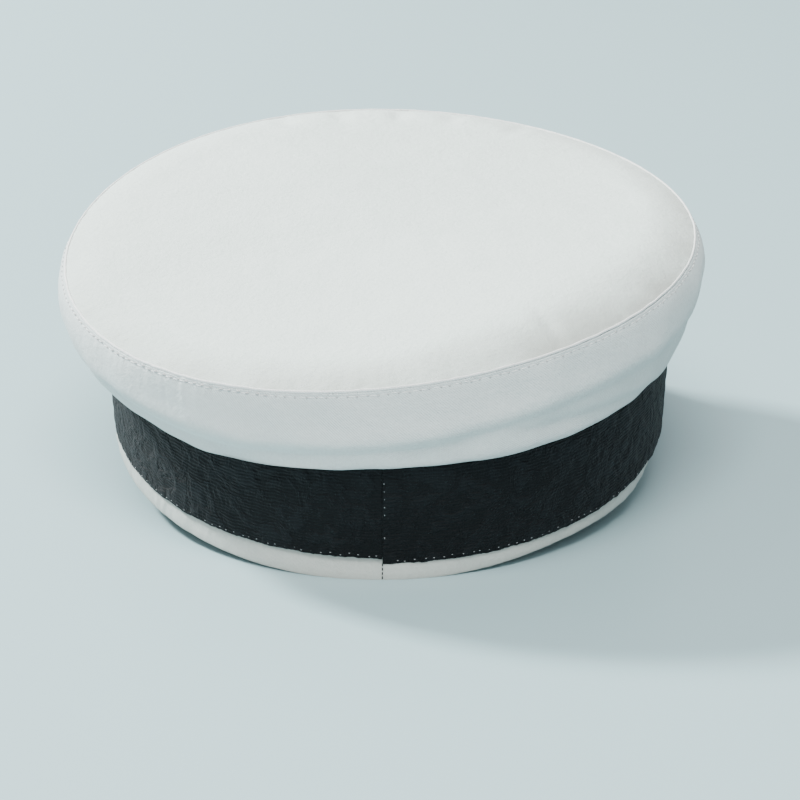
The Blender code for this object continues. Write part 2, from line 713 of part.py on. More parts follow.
clear_scene()
MATERIALS = {
    "white_cotton": make_material("white_cotton", (0.80, 0.81, 0.80), 0.85),
    "canvas": make_material("canvas", (0.72, 0.68, 0.58), 0.90),
    "lining": make_material("lining", (0.70, 0.71, 0.70), 0.55),
    "clear_plastic": make_material("clear_plastic", (0.85, 0.88, 0.90), 0.15),
    "board": make_material("board", (0.42, 0.35, 0.26), 0.80),
    "steel": make_material("steel", (0.55, 0.56, 0.57), 0.35, 1.0),
    "brass": make_material("brass", (0.70, 0.55, 0.28), 0.35, 1.0),
    "gilt": make_material("gilt", (0.83, 0.66, 0.30), 0.28, 1.0),
    "black_mohair": make_material("black_mohair", (0.012, 0.014, 0.018), 0.80),
    "leather": make_material("leather", (0.16, 0.09, 0.05), 0.55),
    "ribbon": make_material("ribbon", (0.75, 0.75, 0.73), 0.60),
    "patent": make_material("patent", (0.010, 0.010, 0.012), 0.12),
    "peak_cloth": make_material("peak_cloth", (0.020, 0.022, 0.026), 0.75),
    "cutter": make_material("cutter", (0.5, 0.5, 0.5), 0.5),
}
build()
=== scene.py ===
import json
from math import atan2, pi, radians, tan

import bpy
import numpy as np
from mathutils import Matrix, Vector
from numpy import arange, array, clip, concatenate, cos, exp, linspace, sin, stack


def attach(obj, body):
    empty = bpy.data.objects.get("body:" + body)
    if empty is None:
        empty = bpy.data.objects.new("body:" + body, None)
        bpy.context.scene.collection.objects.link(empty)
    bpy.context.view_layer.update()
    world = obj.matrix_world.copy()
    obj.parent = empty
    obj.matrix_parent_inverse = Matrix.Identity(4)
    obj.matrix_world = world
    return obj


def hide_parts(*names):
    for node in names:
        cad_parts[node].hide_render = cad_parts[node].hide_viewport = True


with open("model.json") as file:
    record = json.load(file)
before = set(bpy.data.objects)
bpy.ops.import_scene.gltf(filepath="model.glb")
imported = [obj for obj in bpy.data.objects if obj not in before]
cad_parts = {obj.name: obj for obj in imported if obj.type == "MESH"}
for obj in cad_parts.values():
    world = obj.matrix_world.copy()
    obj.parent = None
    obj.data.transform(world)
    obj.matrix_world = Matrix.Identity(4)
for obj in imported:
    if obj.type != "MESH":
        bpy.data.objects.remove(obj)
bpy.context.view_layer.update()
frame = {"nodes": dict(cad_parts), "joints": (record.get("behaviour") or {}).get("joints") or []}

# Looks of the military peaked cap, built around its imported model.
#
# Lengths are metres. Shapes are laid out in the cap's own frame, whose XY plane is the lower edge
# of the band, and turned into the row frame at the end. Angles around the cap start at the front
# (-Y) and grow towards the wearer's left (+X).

JOINTS = {joint["name"]: joint for joint in frame["joints"]}
FULL_TURN = 2 * pi
UP = array([0.0, 0.0, 1.0])
SIDES = (("left", 1), ("right", -1))
MEAN_RADIUS = 0.1

# The cap's own frame: its up axis is the one the strap keepers slide about
CAP_UP = Vector(JOINTS["keeper_slide_left"]["axis"])
PITCH = atan2(CAP_UP.y, CAP_UP.z)
CAP_CENTRE_X = -0.0025
CAP_CENTRE_Y = 0.0176
HEM_PRESSED = 0.0003

# Band
BAND_HALF_WIDTH = 0.0886
BAND_HALF_LENGTH = 0.1045
BAND_FLARE = 0.055
BAND_FLARE_SIDE = 0.040
BAND_HEIGHT = 0.0384
BAND_LENGTH = 0.606
HEM_STRIP = 0.0057
HEM_DEPTH = 0.0006
BAND_JOIN = radians(178)

# Crown rim
RIM_HALF_WIDTH = 0.0996
RIM_HALF_LENGTH = 0.1073
RIM_CENTRE_X = 0.0028
RIM_CENTRE_Y = -0.0040
RIM_HEIGHT = 0.0627
RIM_EGG = -0.028
RIM_ROLL = tan(radians(2.8))
RIM_PITCH = tan(radians(0.4))
RIM_TWIST = 0.0025
RIM_STITCHES = 216

# Crown top: how far it stands over the rim's plane near its edge and in its middle
TOP_PROUD = 0.0003
TOP_EDGE_WIDTH = 0.0150
TOP_EDGE_RISE = 0.0026
TOP_MIDDLE_RISE = 0.0036
TWILL_THICK = 0.0007

# Crown side
SIDE_START = 0.0008
SIDE_SWELL_LOW = 0.0085
SIDE_SWELL_HIGH = 0.0035
SIDE_RISE_LOW = 0.0010
SIDE_DROP_HIGH = 0.0085
SIDE_SAG = 0.0050
SIDE_SAG_ANGLE = radians(105)
CLOTH_PROUD = 0.0006
STITCH_SHARE = 0.958
SIDE_SEAM = radians(66)

# Local changes around the crown: how much, at what angle and how wide, in degrees
SIDE_SAGS = ((0.0110, 146, 28), (0.0026, 245, 26), (0.0018, 188, 40))
SIDE_LOW_SWELLS = ((-0.0020, 250, 35), (-0.0014, 186, 34))
SIDE_HIGH_SWELLS = ((0.0032, 98, 32), (0.0042, 262, 26))
TOP_DENTS = ((0.0014, 8, 2.3), (0.0015, -5, 2.3), (0.0012, 21, 2.3), (0.0010, -17, 2.3),
             (0.0009, -32, 2.3))

# Creases: start and end in degrees, height shares on the way, depth, softness below
SIDE_CREASES = ((180, 266, (0.42, 0.52, 0.42), 0.0015, 0.30),
                (200, 241, (0.42, 0.33, 0.16), 0.0009, 0.10),
                (118, 196, (0.56, 0.475, 0.44), 0.0015, 0.55),
                (36, 96, (0.45, 0.38, 0.45), 0.0010, 0.12),
                (264, 324, (0.45, 0.38, 0.45), 0.0010, 0.12))

# Peak
PEAK_END = radians(57)
PEAK_REACH = 0.0500
PEAK_END_REACH = 0.0070
PEAK_SLOPE = radians(32.8)
PEAK_SLOPE_SIDES = radians(8.0)
PEAK_CAMBER = 0.0016
PEAK_THICK = 0.0018
PEAK_LINING_THICK = 0.0007
BINDING_LEG = 0.0036
BINDING_WALL = 0.0009
GAP = 0.0003

# Chin strap, keepers, buttons, badge
STRAP_LOW = 0.0016
STRAP_HIGH = 0.0136
STRAP_MIDDLE = (STRAP_LOW + STRAP_HIGH) / 2
STRAP_LAYERS = {"left": (0.0022, 0.0033), "right": (0.0036, 0.0047)}
STRAP_LAP = radians(26)
STRAP_TAB_END = radians(68.5)
BUTTON_ANGLE = radians(64)
BUTTON_HEIGHT = 0.0080
BUTTON_RADIUS = 0.0075
BUTTON_STANDOFF = 0.0053
SHANK_RADIUS = 0.0011
SHANK_END = -0.0046
KEEPER_ANGLE = radians(20)
KEEPER_LENGTH = 0.0080
KEEPER_WALL = 0.0008

# Layers inside the band
LINING_EDGE_DEPTH = 0.0037
SWEATBAND_FOOT_DEPTH = 0.0037
SWEATBAND_DEPTH = 0.0050
SWEATBAND_THICK = 0.0011
SWEATBAND_HEIGHT = 0.0360
SWEATBAND_INSIDE = -SWEATBAND_DEPTH - SWEATBAND_THICK


# ---- the cap's shapes as formulas

def vectors(x, y, z):
    """Stack coordinates into an array of points."""
    x, y, z = np.broadcast_arrays(x, y, z)
    return stack([x, y, z], axis=-1).astype(float)


def unit(directions):
    """Directions scaled to length 1."""
    return directions / np.linalg.norm(directions, axis=-1, keepdims=True)


def band_point(phi, offset, height):
    """Points of the band, offset outward from the black band's face."""
    return vectors((BAND_HALF_WIDTH + offset + BAND_FLARE_SIDE * height) * sin(phi),
                   -(BAND_HALF_LENGTH + offset + BAND_FLARE * height) * cos(phi), height)


def outward(phi):
    """Level direction straight out of the band."""
    return unit(vectors(sin(phi) / BAND_HALF_WIDTH, -cos(phi) / BAND_HALF_LENGTH, 0.0))


def rim_level(phi, x, y, twist=1.0):
    """Height of the rim's tilted plane, with a share of its twist."""
    return RIM_HEIGHT - RIM_ROLL * x - RIM_PITCH * y + RIM_TWIST * sin(2 * phi) * twist


def rim_point(phi, inset, lift):
    """Points of the crown rim, inset towards the middle and lifted above the seam."""
    x = (RIM_HALF_WIDTH * (1 + RIM_EGG * cos(phi)) - inset) * sin(phi)
    y = -(RIM_HALF_LENGTH - inset) * cos(phi)
    return vectors(RIM_CENTRE_X + x, RIM_CENTRE_Y + y, rim_level(phi, x, y) + lift)


REST_LINE = BAND_HALF_LENGTH - HEM_DEPTH - HEM_PRESSED / tan(PITCH)
POSE = Matrix.Translation((CAP_CENTRE_X, CAP_CENTRE_Y, REST_LINE * sin(PITCH))) \
    @ Matrix.Rotation(-PITCH, 4, "X")


def moved(points, place):
    """Points carried along by a placing matrix."""
    return points @ array(place.to_3x3()).T + array(place.translation)


def around(count):
    """Angles spaced evenly over a full turn."""
    return arange(count) * FULL_TURN / count


def lattice(first, second):
    """Two rows of values as the coordinates of a grid."""
    return np.meshgrid(first, second, indexing="ij")


def bump(value, centre, width):
    """Bell curve of height 1."""
    return exp(-((value - centre) / width) ** 2)


def lobe(phi, centre, width):
    """Bell curve around the cap, its centre and width in degrees."""
    return bump((phi - radians(centre) + pi) % FULL_TURN - pi, 0, radians(width))


def lobes(phi, places):
    """Sum of bell curves around the cap, each given by height, centre and width."""
    return sum(height * lobe(phi, centre, width) for height, centre, width in places)


def squared(value, power):
    """A sine or cosine pushed outward, which squares the round shape it draws."""
    return np.sign(value) * np.abs(value) ** power


def wave_noise(coordinates, seed, finest, coarsest, count=14):
    """Smooth repeatable noise between about -1 and 1, made of sine waves of many directions."""
    rng = np.random.default_rng(seed)
    total = np.zeros(coordinates.shape[:-1])
    for _ in range(count):
        direction = rng.normal(size=coordinates.shape[-1])
        direction /= np.linalg.norm(direction)
        length = exp(rng.uniform(np.log(finest), np.log(coarsest)))
        total += sin(coordinates @ direction * FULL_TURN / length + rng.uniform(0, FULL_TURN))
    return total / np.sqrt(count / 2) / 1.6


def edge_noise(phi, *grain):
    """Noise along the cap's edge."""
    return wave_noise(stack([phi * MEAN_RADIUS], -1), *grain)


def band_noise(phi, height, *grain):
    """Noise over a strip that runs around the cap."""
    return wave_noise(stack([phi * MEAN_RADIUS, height], -1), *grain)


# ---- mesh building

def add_object(name, data):
    """Object in the scene that shows a mesh, a light or a camera."""
    made = bpy.data.objects.new(name, data)
    bpy.context.scene.collection.objects.link(made)
    return made


def new_piece(name, points, faces, look, slot, node=None, body="cap", coordinates=None,
              sharp=40.0, thick=0.0, place=POSE, grounded=False):
    """Make a smooth-shaded mesh in the row frame that rides on a body.

    coordinates gives each face corner's place on the flat material, in metres; thick is a
    sheet's thickness, inward of its outer face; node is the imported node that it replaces;
    place is the frame its points are in, and grounded keeps them above the floor."""
    vertices = moved(points.reshape(-1, 3), place)
    if grounded:
        vertices[:, 2] = np.maximum(vertices[:, 2], 0.0)
    mesh = bpy.data.meshes.new(name)
    mesh.from_pydata(vertices.tolist(), [], faces)
    mesh.validate()
    if coordinates is not None:
        layer = mesh.attributes.new("flat", "FLOAT2", "CORNER")
        layer.data.foreach_set("vector", np.asarray(coordinates, np.float32).ravel())
    mesh.shade_smooth()
    mesh.set_sharp_from_angle(angle=radians(sharp))
    mesh.materials.append(PAINTS[look])
    piece = add_object(name, mesh)
    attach(piece, body)
    if thick:
        solid = piece.modifiers.new("thickness", "SOLIDIFY")
        solid.thickness = thick
        solid.offset = -1
        solid.use_even_offset = False
    if node:
        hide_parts(node)
    return piece


def grid_faces(rows, columns, wrap_rows, wrap_columns):
    """Quads of a grid and the unwrapped grid place of each of their corners."""
    i, j = lattice(arange(rows - (not wrap_rows)), arange(columns - (not wrap_columns)))
    first = stack([i.ravel(), j.ravel()], 1)
    places = first[:, None] + array([(0, 0), (1, 0), (1, 1), (0, 1)])
    index = (places[..., 0] % rows) * columns + places[..., 1] % columns
    return index, places


def fan(ring, hub):
    """Triangles from a hub vertex to each edge of a closed ring of vertices."""
    ring = list(ring)
    return [[hub, start, end] for start, end in zip(ring, ring[1:] + ring[:1])]


def surface(name, points, look, slot, wrap_rows=False, wrap_columns=False, flat=None,
            caps=False, flip=False, **how):
    """Mesh over a grid of points, its first and last row closed if it has caps.

    flat is the grid's size on the flat material."""
    rows, columns = points.shape[:2]
    index, places = grid_faces(rows, columns, wrap_rows, wrap_columns)
    order = -1 if flip else 1
    faces = index[:, ::order].tolist()
    if flat is not None:
        scale = (flat[0] / (rows - (not wrap_rows)), flat[1] / (columns - (not wrap_columns)))
        flat = (places[:, ::order] * scale).reshape(-1, 2)
    if caps:
        first = list(range(columns))
        last = list(range((rows - 1) * columns, rows * columns))
        faces += [first[::order], last[::-order]]
        if flat is not None:
            flat = concatenate([flat, np.zeros((2 * columns, 2))])
    return new_piece(name, points, faces, look, slot, coordinates=flat, **how)


def tube(name, path, radius, look, slot, sides=10, closed=True, up=UP, squash=1.0, **how):
    """Round or flattened bead along a path of points in the cap's frame."""
    ahead = np.roll(path, -1, 0) - np.roll(path, 1, 0)
    if not closed:
        ahead[0], ahead[-1] = path[1] - path[0], path[-1] - path[-2]
    ahead = unit(ahead)
    side = unit(np.cross(ahead, up))
    top = np.cross(side, ahead)
    turn = around(sides)[None, :, None]
    radius = np.broadcast_to(radius, len(path))[:, None, None]
    ring = path[:, None] + radius * (cos(turn) * side[:, None]
                                     + squash * sin(turn) * top[:, None])
    return surface(name, ring, look, slot, closed, True, caps=not closed, **how)


def turned(name, profile, look, slot, place, segments=64, ripple=None, **how):
    """Turn a profile of (radius, height) pairs about the Z axis of a place in the row frame."""
    profile = array(profile)
    angle = around(segments)[:, None]
    radius, height = profile[None, 1:-1, 0], profile[None, 1:-1, 1]
    if ripple is not None:
        height = height + ripple(angle, radius)
    rings = vectors(radius * cos(angle), radius * sin(angle), height)
    count = rings.shape[1]
    total = segments * count
    vertices = concatenate([rings.reshape(-1, 3), [[0, 0, profile[0, 1]]],
                               [[0, 0, profile[-1, 1]]]])
    index, _ = grid_faces(segments, count, True, False)
    faces = index.tolist() + fan(range(total - count, -1, -count), total) \
        + fan(range(count - 1, total, count), total + 1)
    return new_piece(name, vertices, [face[::-1] for face in faces], look, slot, place=place,
                     **how)


def stitch_row(name, points, normals, length, radius, look, slot, lift=0.0, **how):
    """Row of separate thread stitches, each a little arched bead centred on a point."""
    ahead = unit(np.gradient(points, axis=0))
    side = unit(np.cross(ahead, normals))
    stations = array([-1.0, -0.9, -0.6, 0.0, 0.6, 0.9, 1.0])
    girth = radius * array([0.25, 0.7, 0.95, 1.0, 0.95, 0.7, 0.25])[:, None]
    arch = radius * (0.9 * (1 - stations ** 2) - 0.7)[:, None]
    sides = 6
    turn = around(sides)
    ring = (points[:, None, None]
            + (stations * length / 2)[:, None, None] * ahead[:, None, None]
            + (arch + girth * sin(turn) + lift)[..., None] * normals[:, None, None]
            + (girth * cos(turn))[..., None] * side[:, None, None])
    count = len(stations)
    total = count * sides
    index, _ = grid_faces(count, sides, False, True)
    block = index.tolist() + [list(range(sides)), list(range(total - 1, total - sides - 1, -1))]
    faces = [[stitch * total + corner for corner in face]
             for stitch in range(len(points)) for face in block]
    return new_piece(name, ring, faces, look, slot, sharp=80.0, **how)


def band_stitches(name, phi, offset, height, *thread, inside=False, **how):
    """Stitches on the band's face, or on the inside of what lies in it."""
    normals = -outward(phi) if inside else outward(phi)
    stitch_row(name, band_point(phi, offset, height), normals, *thread, **how)


# ---- materials

class Paint:
    """A Principled material with short calls for its nodes."""

    def __init__(self, name, colour, roughness, metallic=0.0, **sockets):
        self.material = bpy.data.materials.new(name)
        self.material.use_nodes = True
        self.material.diffuse_color = (*colour, 1)
        self.tree = self.material.node_tree
        self.shader = self.tree.nodes["Principled BSDF"]
        sockets.update(Base_Color=colour, Roughness=roughness, Metallic=metallic)
        for socket, value in sockets.items():
            self.feed(self.shader.inputs[socket.replace("_", " ")], value)

    def feed(self, socket, value):
        """Link an output to a socket, or set the socket's value."""
        if isinstance(value, bpy.types.NodeSocket):
            self.tree.links.new(value, socket)
        else:
            socket.default_value = (*value, 1) if isinstance(value, tuple) else value

    def node(self, kind, inputs, **settings):
        """Add a node; inputs maps a socket's name or number to a value or an output."""
        made = self.tree.nodes.new(kind)
        for key, value in settings.items():
            setattr(made, key, value)
        for key, value in inputs.items():
            self.feed(made.inputs[key], value)
        return made

    def math(self, operation, *values):
        """One step of arithmetic."""
        return self.node("ShaderNodeMath", dict(enumerate(values)), operation=operation).outputs[0]

    def flat(self):
        """X and Y of the corner's place on the flat material, in metres."""
        place = self.node("ShaderNodeAttribute", {}, attribute_name="flat")
        return self.split(place.outputs["Vector"])

    def split(self, place):
        """X and Y of a place."""
        parts = self.node("ShaderNodeSeparateXYZ", {0: place}).outputs
        return parts["X"], parts["Y"]

    def object_place(self):
        """The point in the row frame, in metres."""
        return self.node("ShaderNodeTexCoord", {}).outputs["Object"]

    def noise(self, scale, detail=3.0, roughness=0.5, vector=None, distortion=0.0):
        """Noise from 0 to 1."""
        inputs = {"Scale": scale, "Detail": detail, "Roughness": roughness,
                  "Distortion": distortion,
                  "Vector": self.object_place() if vector is None else vector}
        return self.node("ShaderNodeTexNoise", inputs).outputs["Fac"]

    def sine(self, value, pitch):
        """Sine of a length with the given pitch."""
        return self.math("SINE", self.math("MULTIPLY", value, FULL_TURN / pitch))

    def ramp(self, value, low, high):
        """Clamp and stretch a value to 0..1."""
        inputs = {"Value": value, "From Min": low, "From Max": high}
        return self.node("ShaderNodeMapRange", inputs).outputs["Result"]

    def patches(self, low, high, *grain):
        """Noise stretched so that low becomes 0 and high becomes 1."""
        return self.ramp(self.noise(*grain), low, high)

    def mix(self, factor, first, second):
        """Mix two colours."""
        inputs = {"Factor": factor, "A": first, "B": second}
        return self.node("ShaderNodeMix", inputs, data_type="RGBA").outputs["Result"]

    def relief(self, height, distance, strength=1.0, below=None):
        """Bump from a height, on top of another bump if one is given."""
        inputs = {"Height": height, "Distance": distance, "Strength": strength}
        if below is not None:
            inputs["Normal"] = below
        return self.node("ShaderNodeBump", inputs).outputs["Normal"]

    def finish(self, colour=None, normal=None, roughness=None):
        """Connect the results to the shader."""
        results = {"Base Color": colour, "Normal": normal, "Roughness": roughness}
        for socket, result in results.items():
            if result is not None:
                self.feed(self.shader.inputs[socket], result)
        return self.material


def darker(colour, share):
    """A colour scaled by a share."""
    return tuple(channel * share for channel in colour)


WHITE = (0.715, 0.825, 0.785)
# The side's white is the top's white cloth darkened as painted shade
SIDE_PAINTED_SHADE_WHITE = (0.620, 0.695, 0.695)
# Olive grey of the painted shade along the top panel's edge
RIM_SHADE_COLOUR = (0.40, 0.43, 0.40)
BLACK = (0.0058, 0.0076, 0.0090)
PATENT = (0.006, 0.0065, 0.0075)
TWILL_PITCH = 0.00062
TWILL_GRAIN = 0.22
CANVAS_PITCH = 0.0011


def rim_painted_shade(paint):
    """Painted shade along the top's edge, where it slopes down to the seam, from 0 to 1, heaviest
    at the right rear.
    """
    middle = moved(vectors(RIM_CENTRE_X, RIM_CENTRE_Y, RIM_HEIGHT), POSE)
    halves = (RIM_HALF_WIDTH, RIM_HALF_LENGTH)
    sides = []
    for place, centre, half in zip(paint.split(paint.object_place()), middle, halves):
        offset = paint.math("SUBTRACT", place, float(centre))
        sides.append(paint.math("DIVIDE", offset, half))
    squares = [paint.math("MULTIPLY", side, side) for side in sides]
    near_rim = paint.ramp(paint.math("ADD", *squares), 0.72, 1.0)
    right_rear = paint.ramp(paint.math("SUBTRACT", sides[1], sides[0]), -1.4, 1.3)
    patchy = paint.patches(0.15, 0.65, 38.0)
    return paint.math("MULTIPLY", near_rim, paint.math("MULTIPLY", right_rear, patchy))


def twill_cloth(name, colour, relief=0.00005, planar=False):
    """Fine cotton twill: diagonal ribs, crossing yarns, slubs and faint shade changes."""
    paint = Paint(name, colour, 0.88, Sheen_Weight=0.12, Sheen_Roughness=0.5)
    u, v = paint.split(paint.object_place()) if planar else paint.flat()
    diagonal = paint.sine(paint.math("ADD", u, v), TWILL_PITCH * 1.414)
    yarns = paint.sine(paint.math("SUBTRACT", u, v), TWILL_PITCH * 0.7)
    weave = paint.math("MULTIPLY_ADD", yarns, 0.35, diagonal)
    height = paint.math("MULTIPLY_ADD", paint.noise(2600.0, 2.0), 1.6, weave)
    normal = paint.relief(paint.noise(190.0, 4.0, 0.6), 0.00045, 0.55)
    normal = paint.relief(paint.noise(480.0, 4.0, 0.7), 0.00060, 0.70, normal)
    normal = paint.relief(height, relief, 0.8, normal)
    shade = paint.mix(paint.patches(0.3, 0.75, 46.0), colour, darker(colour, 0.955))
    grain = paint.math("MULTIPLY", paint.patches(0.35, 0.65, 1150.0, 2.0, 0.6), TWILL_GRAIN)
    nep = paint.math("MULTIPLY", paint.patches(0.735, 0.80, 760.0, 1.0), 0.30)
    rib = paint.math("MULTIPLY_ADD", diagonal, 0.022, 0.04)
    for share, dark in ((grain, 0.70), (nep, 0.62), (rib, 0.6)):
        shade = paint.mix(share, shade, darker(colour, dark))
    # The top panel gets painted shade along its sloping edge
    if planar:
        shade = paint.mix(rim_painted_shade(paint), shade, RIM_SHADE_COLOUR)
    return paint.finish(shade, normal)


def mohair_cloth():
    """Black braid: fine ribs around the cap with a faint raised leafy figure."""
    paint = Paint("mohair_braid", BLACK, 0.72, Sheen_Weight=0.03, Sheen_Roughness=0.35,
                  Sheen_Tint=(0.55, 0.62, 0.70), Specular_IOR_Level=0.14)
    u, v = paint.flat()
    place = paint.node("ShaderNodeCombineXYZ", {"X": u, "Y": v}).outputs[0]
    drift = paint.noise(150.0, 2.0, vector=place)
    ribs = paint.sine(paint.math("MULTIPLY_ADD", drift, 0.0022, v), 0.00115)
    picks = paint.sine(u, 0.00055)
    figure = paint.patches(0.44, 0.60, 105.0, 3.5, 0.62, place, 1.4)
    fine = paint.noise(1500.0, 3.0, 0.6, place)
    weave = paint.math("MULTIPLY_ADD", picks, 0.25, ribs)
    weave = paint.math("MULTIPLY_ADD", fine, 2.2, weave)
    normal = paint.relief(figure, 0.00080, 0.9)
    normal = paint.relief(weave, 0.00009, 1.0, normal)
    lit = paint.mix(figure, darker(BLACK, 0.70), darker(BLACK, 1.45))
    lit = paint.mix(paint.ramp(ribs, -2.4, 1.4), darker(BLACK, 0.6), lit)
    return paint.finish(lit, normal)


def thread(name, colour):
    """Twisted sewing thread."""
    paint = Paint(name, colour, 0.6, Sheen_Weight=0.1)
    return paint.finish(None, paint.relief(paint.noise(5200.0, 1.0), 0.00005, 0.6))


def satin(name, colour, pitch=0.0006):
    """Smooth lining or ribbon with a fine crosswise rib."""
    paint = Paint(name, colour, 0.42, Sheen_Weight=0.15, Specular_IOR_Level=0.45)
    shade = paint.mix(paint.patches(0.3, 0.7, 60.0), colour, darker(colour, 0.93))
    normal = paint.relief(paint.noise(240.0), 0.0004, 0.4)
    rib = paint.sine(paint.flat()[1], pitch)
    return paint.finish(shade, paint.relief(rib, 0.00004, 0.6, normal))


def grained_leather(name, colour, roughness, grain=900.0, depth=0.00016):
    """Leather: cell-shaped grain, creases and a worn, uneven colour."""
    paint = Paint(name, colour, roughness, Coat_Weight=0.0, Coat_Roughness=0.06)
    cells = paint.node("ShaderNodeTexVoronoi", {"Scale": grain, "Vector": paint.object_place()},
                       feature="DISTANCE_TO_EDGE")
    pits = paint.ramp(cells.outputs["Distance"], 0.0, 0.25)
    normal = paint.relief(paint.noise(grain / 6, 4.0, 0.6), depth * 1.5, 0.5)
    normal = paint.relief(pits, depth, 0.6, normal)
    shade = paint.mix(paint.patches(0.3, 0.75, 35.0, 4.0), darker(colour, 0.75), colour)
    shade = paint.mix(pits, darker(colour, 0.55), shade)
    rough = paint.math("MULTIPLY", paint.patches(-0.6, 2.2, 300.0), roughness * 2.0)
    return paint.finish(shade, normal, rough)


def patent_leather():
    """Black patent: a smooth coat over a faintly uneven base, with fine dust scratches."""
    paint = Paint("patent_leather", PATENT, 0.20, Coat_Weight=1.0, Coat_Roughness=0.035,
                  Coat_IOR=1.5)
    normal = paint.relief(paint.noise(26.0, 2.0), 0.0011, 0.35)
    normal = paint.relief(paint.noise(420.0, 2.0), 0.00006, 0.5, normal)
    wear = paint.patches(0.55, 0.8, 1400.0, 3.0, 0.7)
    paint.feed(paint.shader.inputs["Coat Normal"], normal)
    return paint.finish(paint.mix(wear, PATENT, (0.013, 0.014, 0.016)), normal,
                        paint.patches(-1.0, 3.6, 800.0))


def worn_metal(name, colour, roughness):
    """Metal with fine handling marks and slight tarnish."""
    paint = Paint(name, colour, roughness, 1.0)
    tarnish = paint.patches(0.35, 0.75, 160.0, 4.0, 0.6)
    normal = paint.relief(paint.noise(1300.0, 3.0, 0.6), 0.00004, 0.5)
    rough = paint.math("MULTIPLY_ADD", paint.noise(500.0), roughness * 0.9, roughness * 0.55)
    return paint.finish(paint.mix(tarnish, colour, darker(colour, 0.72)), normal, rough)


def fibre_board(name, colour):
    """Pressed board: flecked fibres."""
    paint = Paint(name, colour, 0.85)
    fibres = paint.noise(700.0, 5.0, 0.7)
    shade = paint.mix(paint.ramp(fibres, 0.35, 0.7), darker(colour, 0.7), colour)
    return paint.finish(shade, paint.relief(fibres, 0.0002, 0.6))


def canvas_cloth(name, colour):
    """Open plain-weave canvas."""
    paint = Paint(name, colour, 0.92)
    x, y = paint.split(paint.object_place())
    weave = paint.math("MULTIPLY", paint.sine(x, CANVAS_PITCH), paint.sine(y, CANVAS_PITCH))
    shade = paint.mix(paint.ramp(weave, -1.0, 1.0), darker(colour, 0.72), colour)
    return paint.finish(shade, paint.relief(weave, 0.00015, 0.8))


def clear_film():
    """Clear plastic film with a soft haze and shallow ripples."""
    paint = Paint("clear_film", (0.93, 0.95, 0.96), 0.12, Transmission_Weight=0.85, IOR=1.46)
    return paint.finish(None, paint.relief(paint.noise(55.0, 2.0), 0.0012, 0.5),
                        paint.patches(-0.3, 3.0, 300.0))


def stitch_dent_shadow():
    """Painted shadow of the dent that a stitch pulls into white cloth, drawn as a dark grey bead.
    """
    paint = Paint("stitch_dent_shadow", (0.46, 0.47, 0.47), 0.95)
    return paint.finish(None, paint.relief(paint.noise(4000.0), 0.00005))


PAINTS = {
    "top": twill_cloth("white_twill_top", WHITE, planar=True),
    # The side and its seams: the same white twill, painted darker as shade
    "side": twill_cloth("white_twill_side_painted_shade", SIDE_PAINTED_SHADE_WHITE),
    # The hem: the same white twill, painted darker as shade
    "hem": twill_cloth("white_twill_hem_painted_shade", (0.56, 0.605, 0.57), relief=0.00006),
    "mohair": mohair_cloth(),
    # The seam ridge: the same white twill, painted lighter as a highlight
    "rim": twill_cloth("white_twill_rim_painted_highlight", (0.90, 0.92, 0.91)),
    "white_thread": thread("white_thread", (0.74, 0.77, 0.765)),
    "grey_thread": thread("dimmed_thread", (0.30, 0.32, 0.33)),
    "black_thread": thread("black_thread", (0.012, 0.014, 0.017)),
    "gold_thread": thread("tan_thread", (0.42, 0.30, 0.16)),
    # Dark grey of the painted shadows in the stitch dents
    "stitch_dent_shadow": stitch_dent_shadow(),
    "lining": satin("lining_satin", (0.66, 0.68, 0.69)),
    "ribbon": satin("ribbon_satin", (0.78, 0.78, 0.76), 0.0009),
    "leather": grained_leather("sweatband_leather", (0.17, 0.085, 0.04), 0.5),
    "peak_cloth": grained_leather("peak_leathercloth", (0.022, 0.024, 0.028), 0.55, 1300.0),
    "patent": patent_leather(),
    "gilt": worn_metal("gilt_metal", (0.86, 0.66, 0.28), 0.24),
    "brass": worn_metal("plain_brass", (0.70, 0.53, 0.26), 0.36),
    "steel": worn_metal("spring_steel", (0.56, 0.57, 0.58), 0.34),
    "board": fibre_board("fibre_board", (0.42, 0.35, 0.26)),
    "canvas": canvas_cloth("stiff_canvas", (0.72, 0.68, 0.58)),
    "film": clear_film(),
}


# ---- crown

def curve(keys, share):
    """Point at a share of the way along the Bezier curve with these keys."""
    if len(keys) == 1:
        return keys[0]
    return (1 - share) * curve(keys[:-1], share) + share * curve(keys[1:], share)


def side_profile(phi, share):
    """Points and outward normals of the crown side, before its folds."""
    out = outward(phi)
    sag = SIDE_SAG * (0.5 + 0.5 * cos(phi - SIDE_SAG_ANGLE)) ** 3 + lobes(phi, SIDE_SAGS)
    swell_low = SIDE_SWELL_LOW + lobes(phi, SIDE_LOW_SWELLS)
    swell_high = SIDE_SWELL_HIGH + lobes(phi, SIDE_HIGH_SWELLS)
    low = band_point(phi, -0.0005, BAND_HEIGHT + SIDE_START)
    low_pull = low + swell_low[..., None] * out + (SIDE_RISE_LOW - sag)[..., None] * UP
    high = rim_point(phi, 0.0002, -0.0002)
    high_pull = high + swell_high[..., None] * out - SIDE_DROP_HIGH * UP
    keys = [low, low_pull, high_pull, high]
    steps = [end - start for start, end in zip(keys, keys[1:])]
    point, along = curve(keys, share[..., None]), curve(steps, share[..., None])
    return point, unit(along[..., 2:] * out - (along * out).sum(-1, keepdims=True) * UP)


def crease(phi, share, start, end, levels, depth, soft):
    """Fold line from one angle to another: the cloth above overhangs it, and it is soft below.

    The angles are in degrees; levels gives its height share at the start, the middle and the
    end."""
    way = (phi - radians(start)) / radians(end - start)
    first, middle, last = levels
    line = first + (4 * middle - 3 * first - last) * way \
        + (2 * first + 2 * last - 4 * middle) * way ** 2
    away = share - line
    width = np.where(away > 0, 0.060, soft)
    reach = clip(1 - np.abs(2 * way - 1) ** 4, 0, 1)
    return depth * reach * (0.35 * bump(away, 0.13, 0.09) - exp(-(away / width) ** 2))


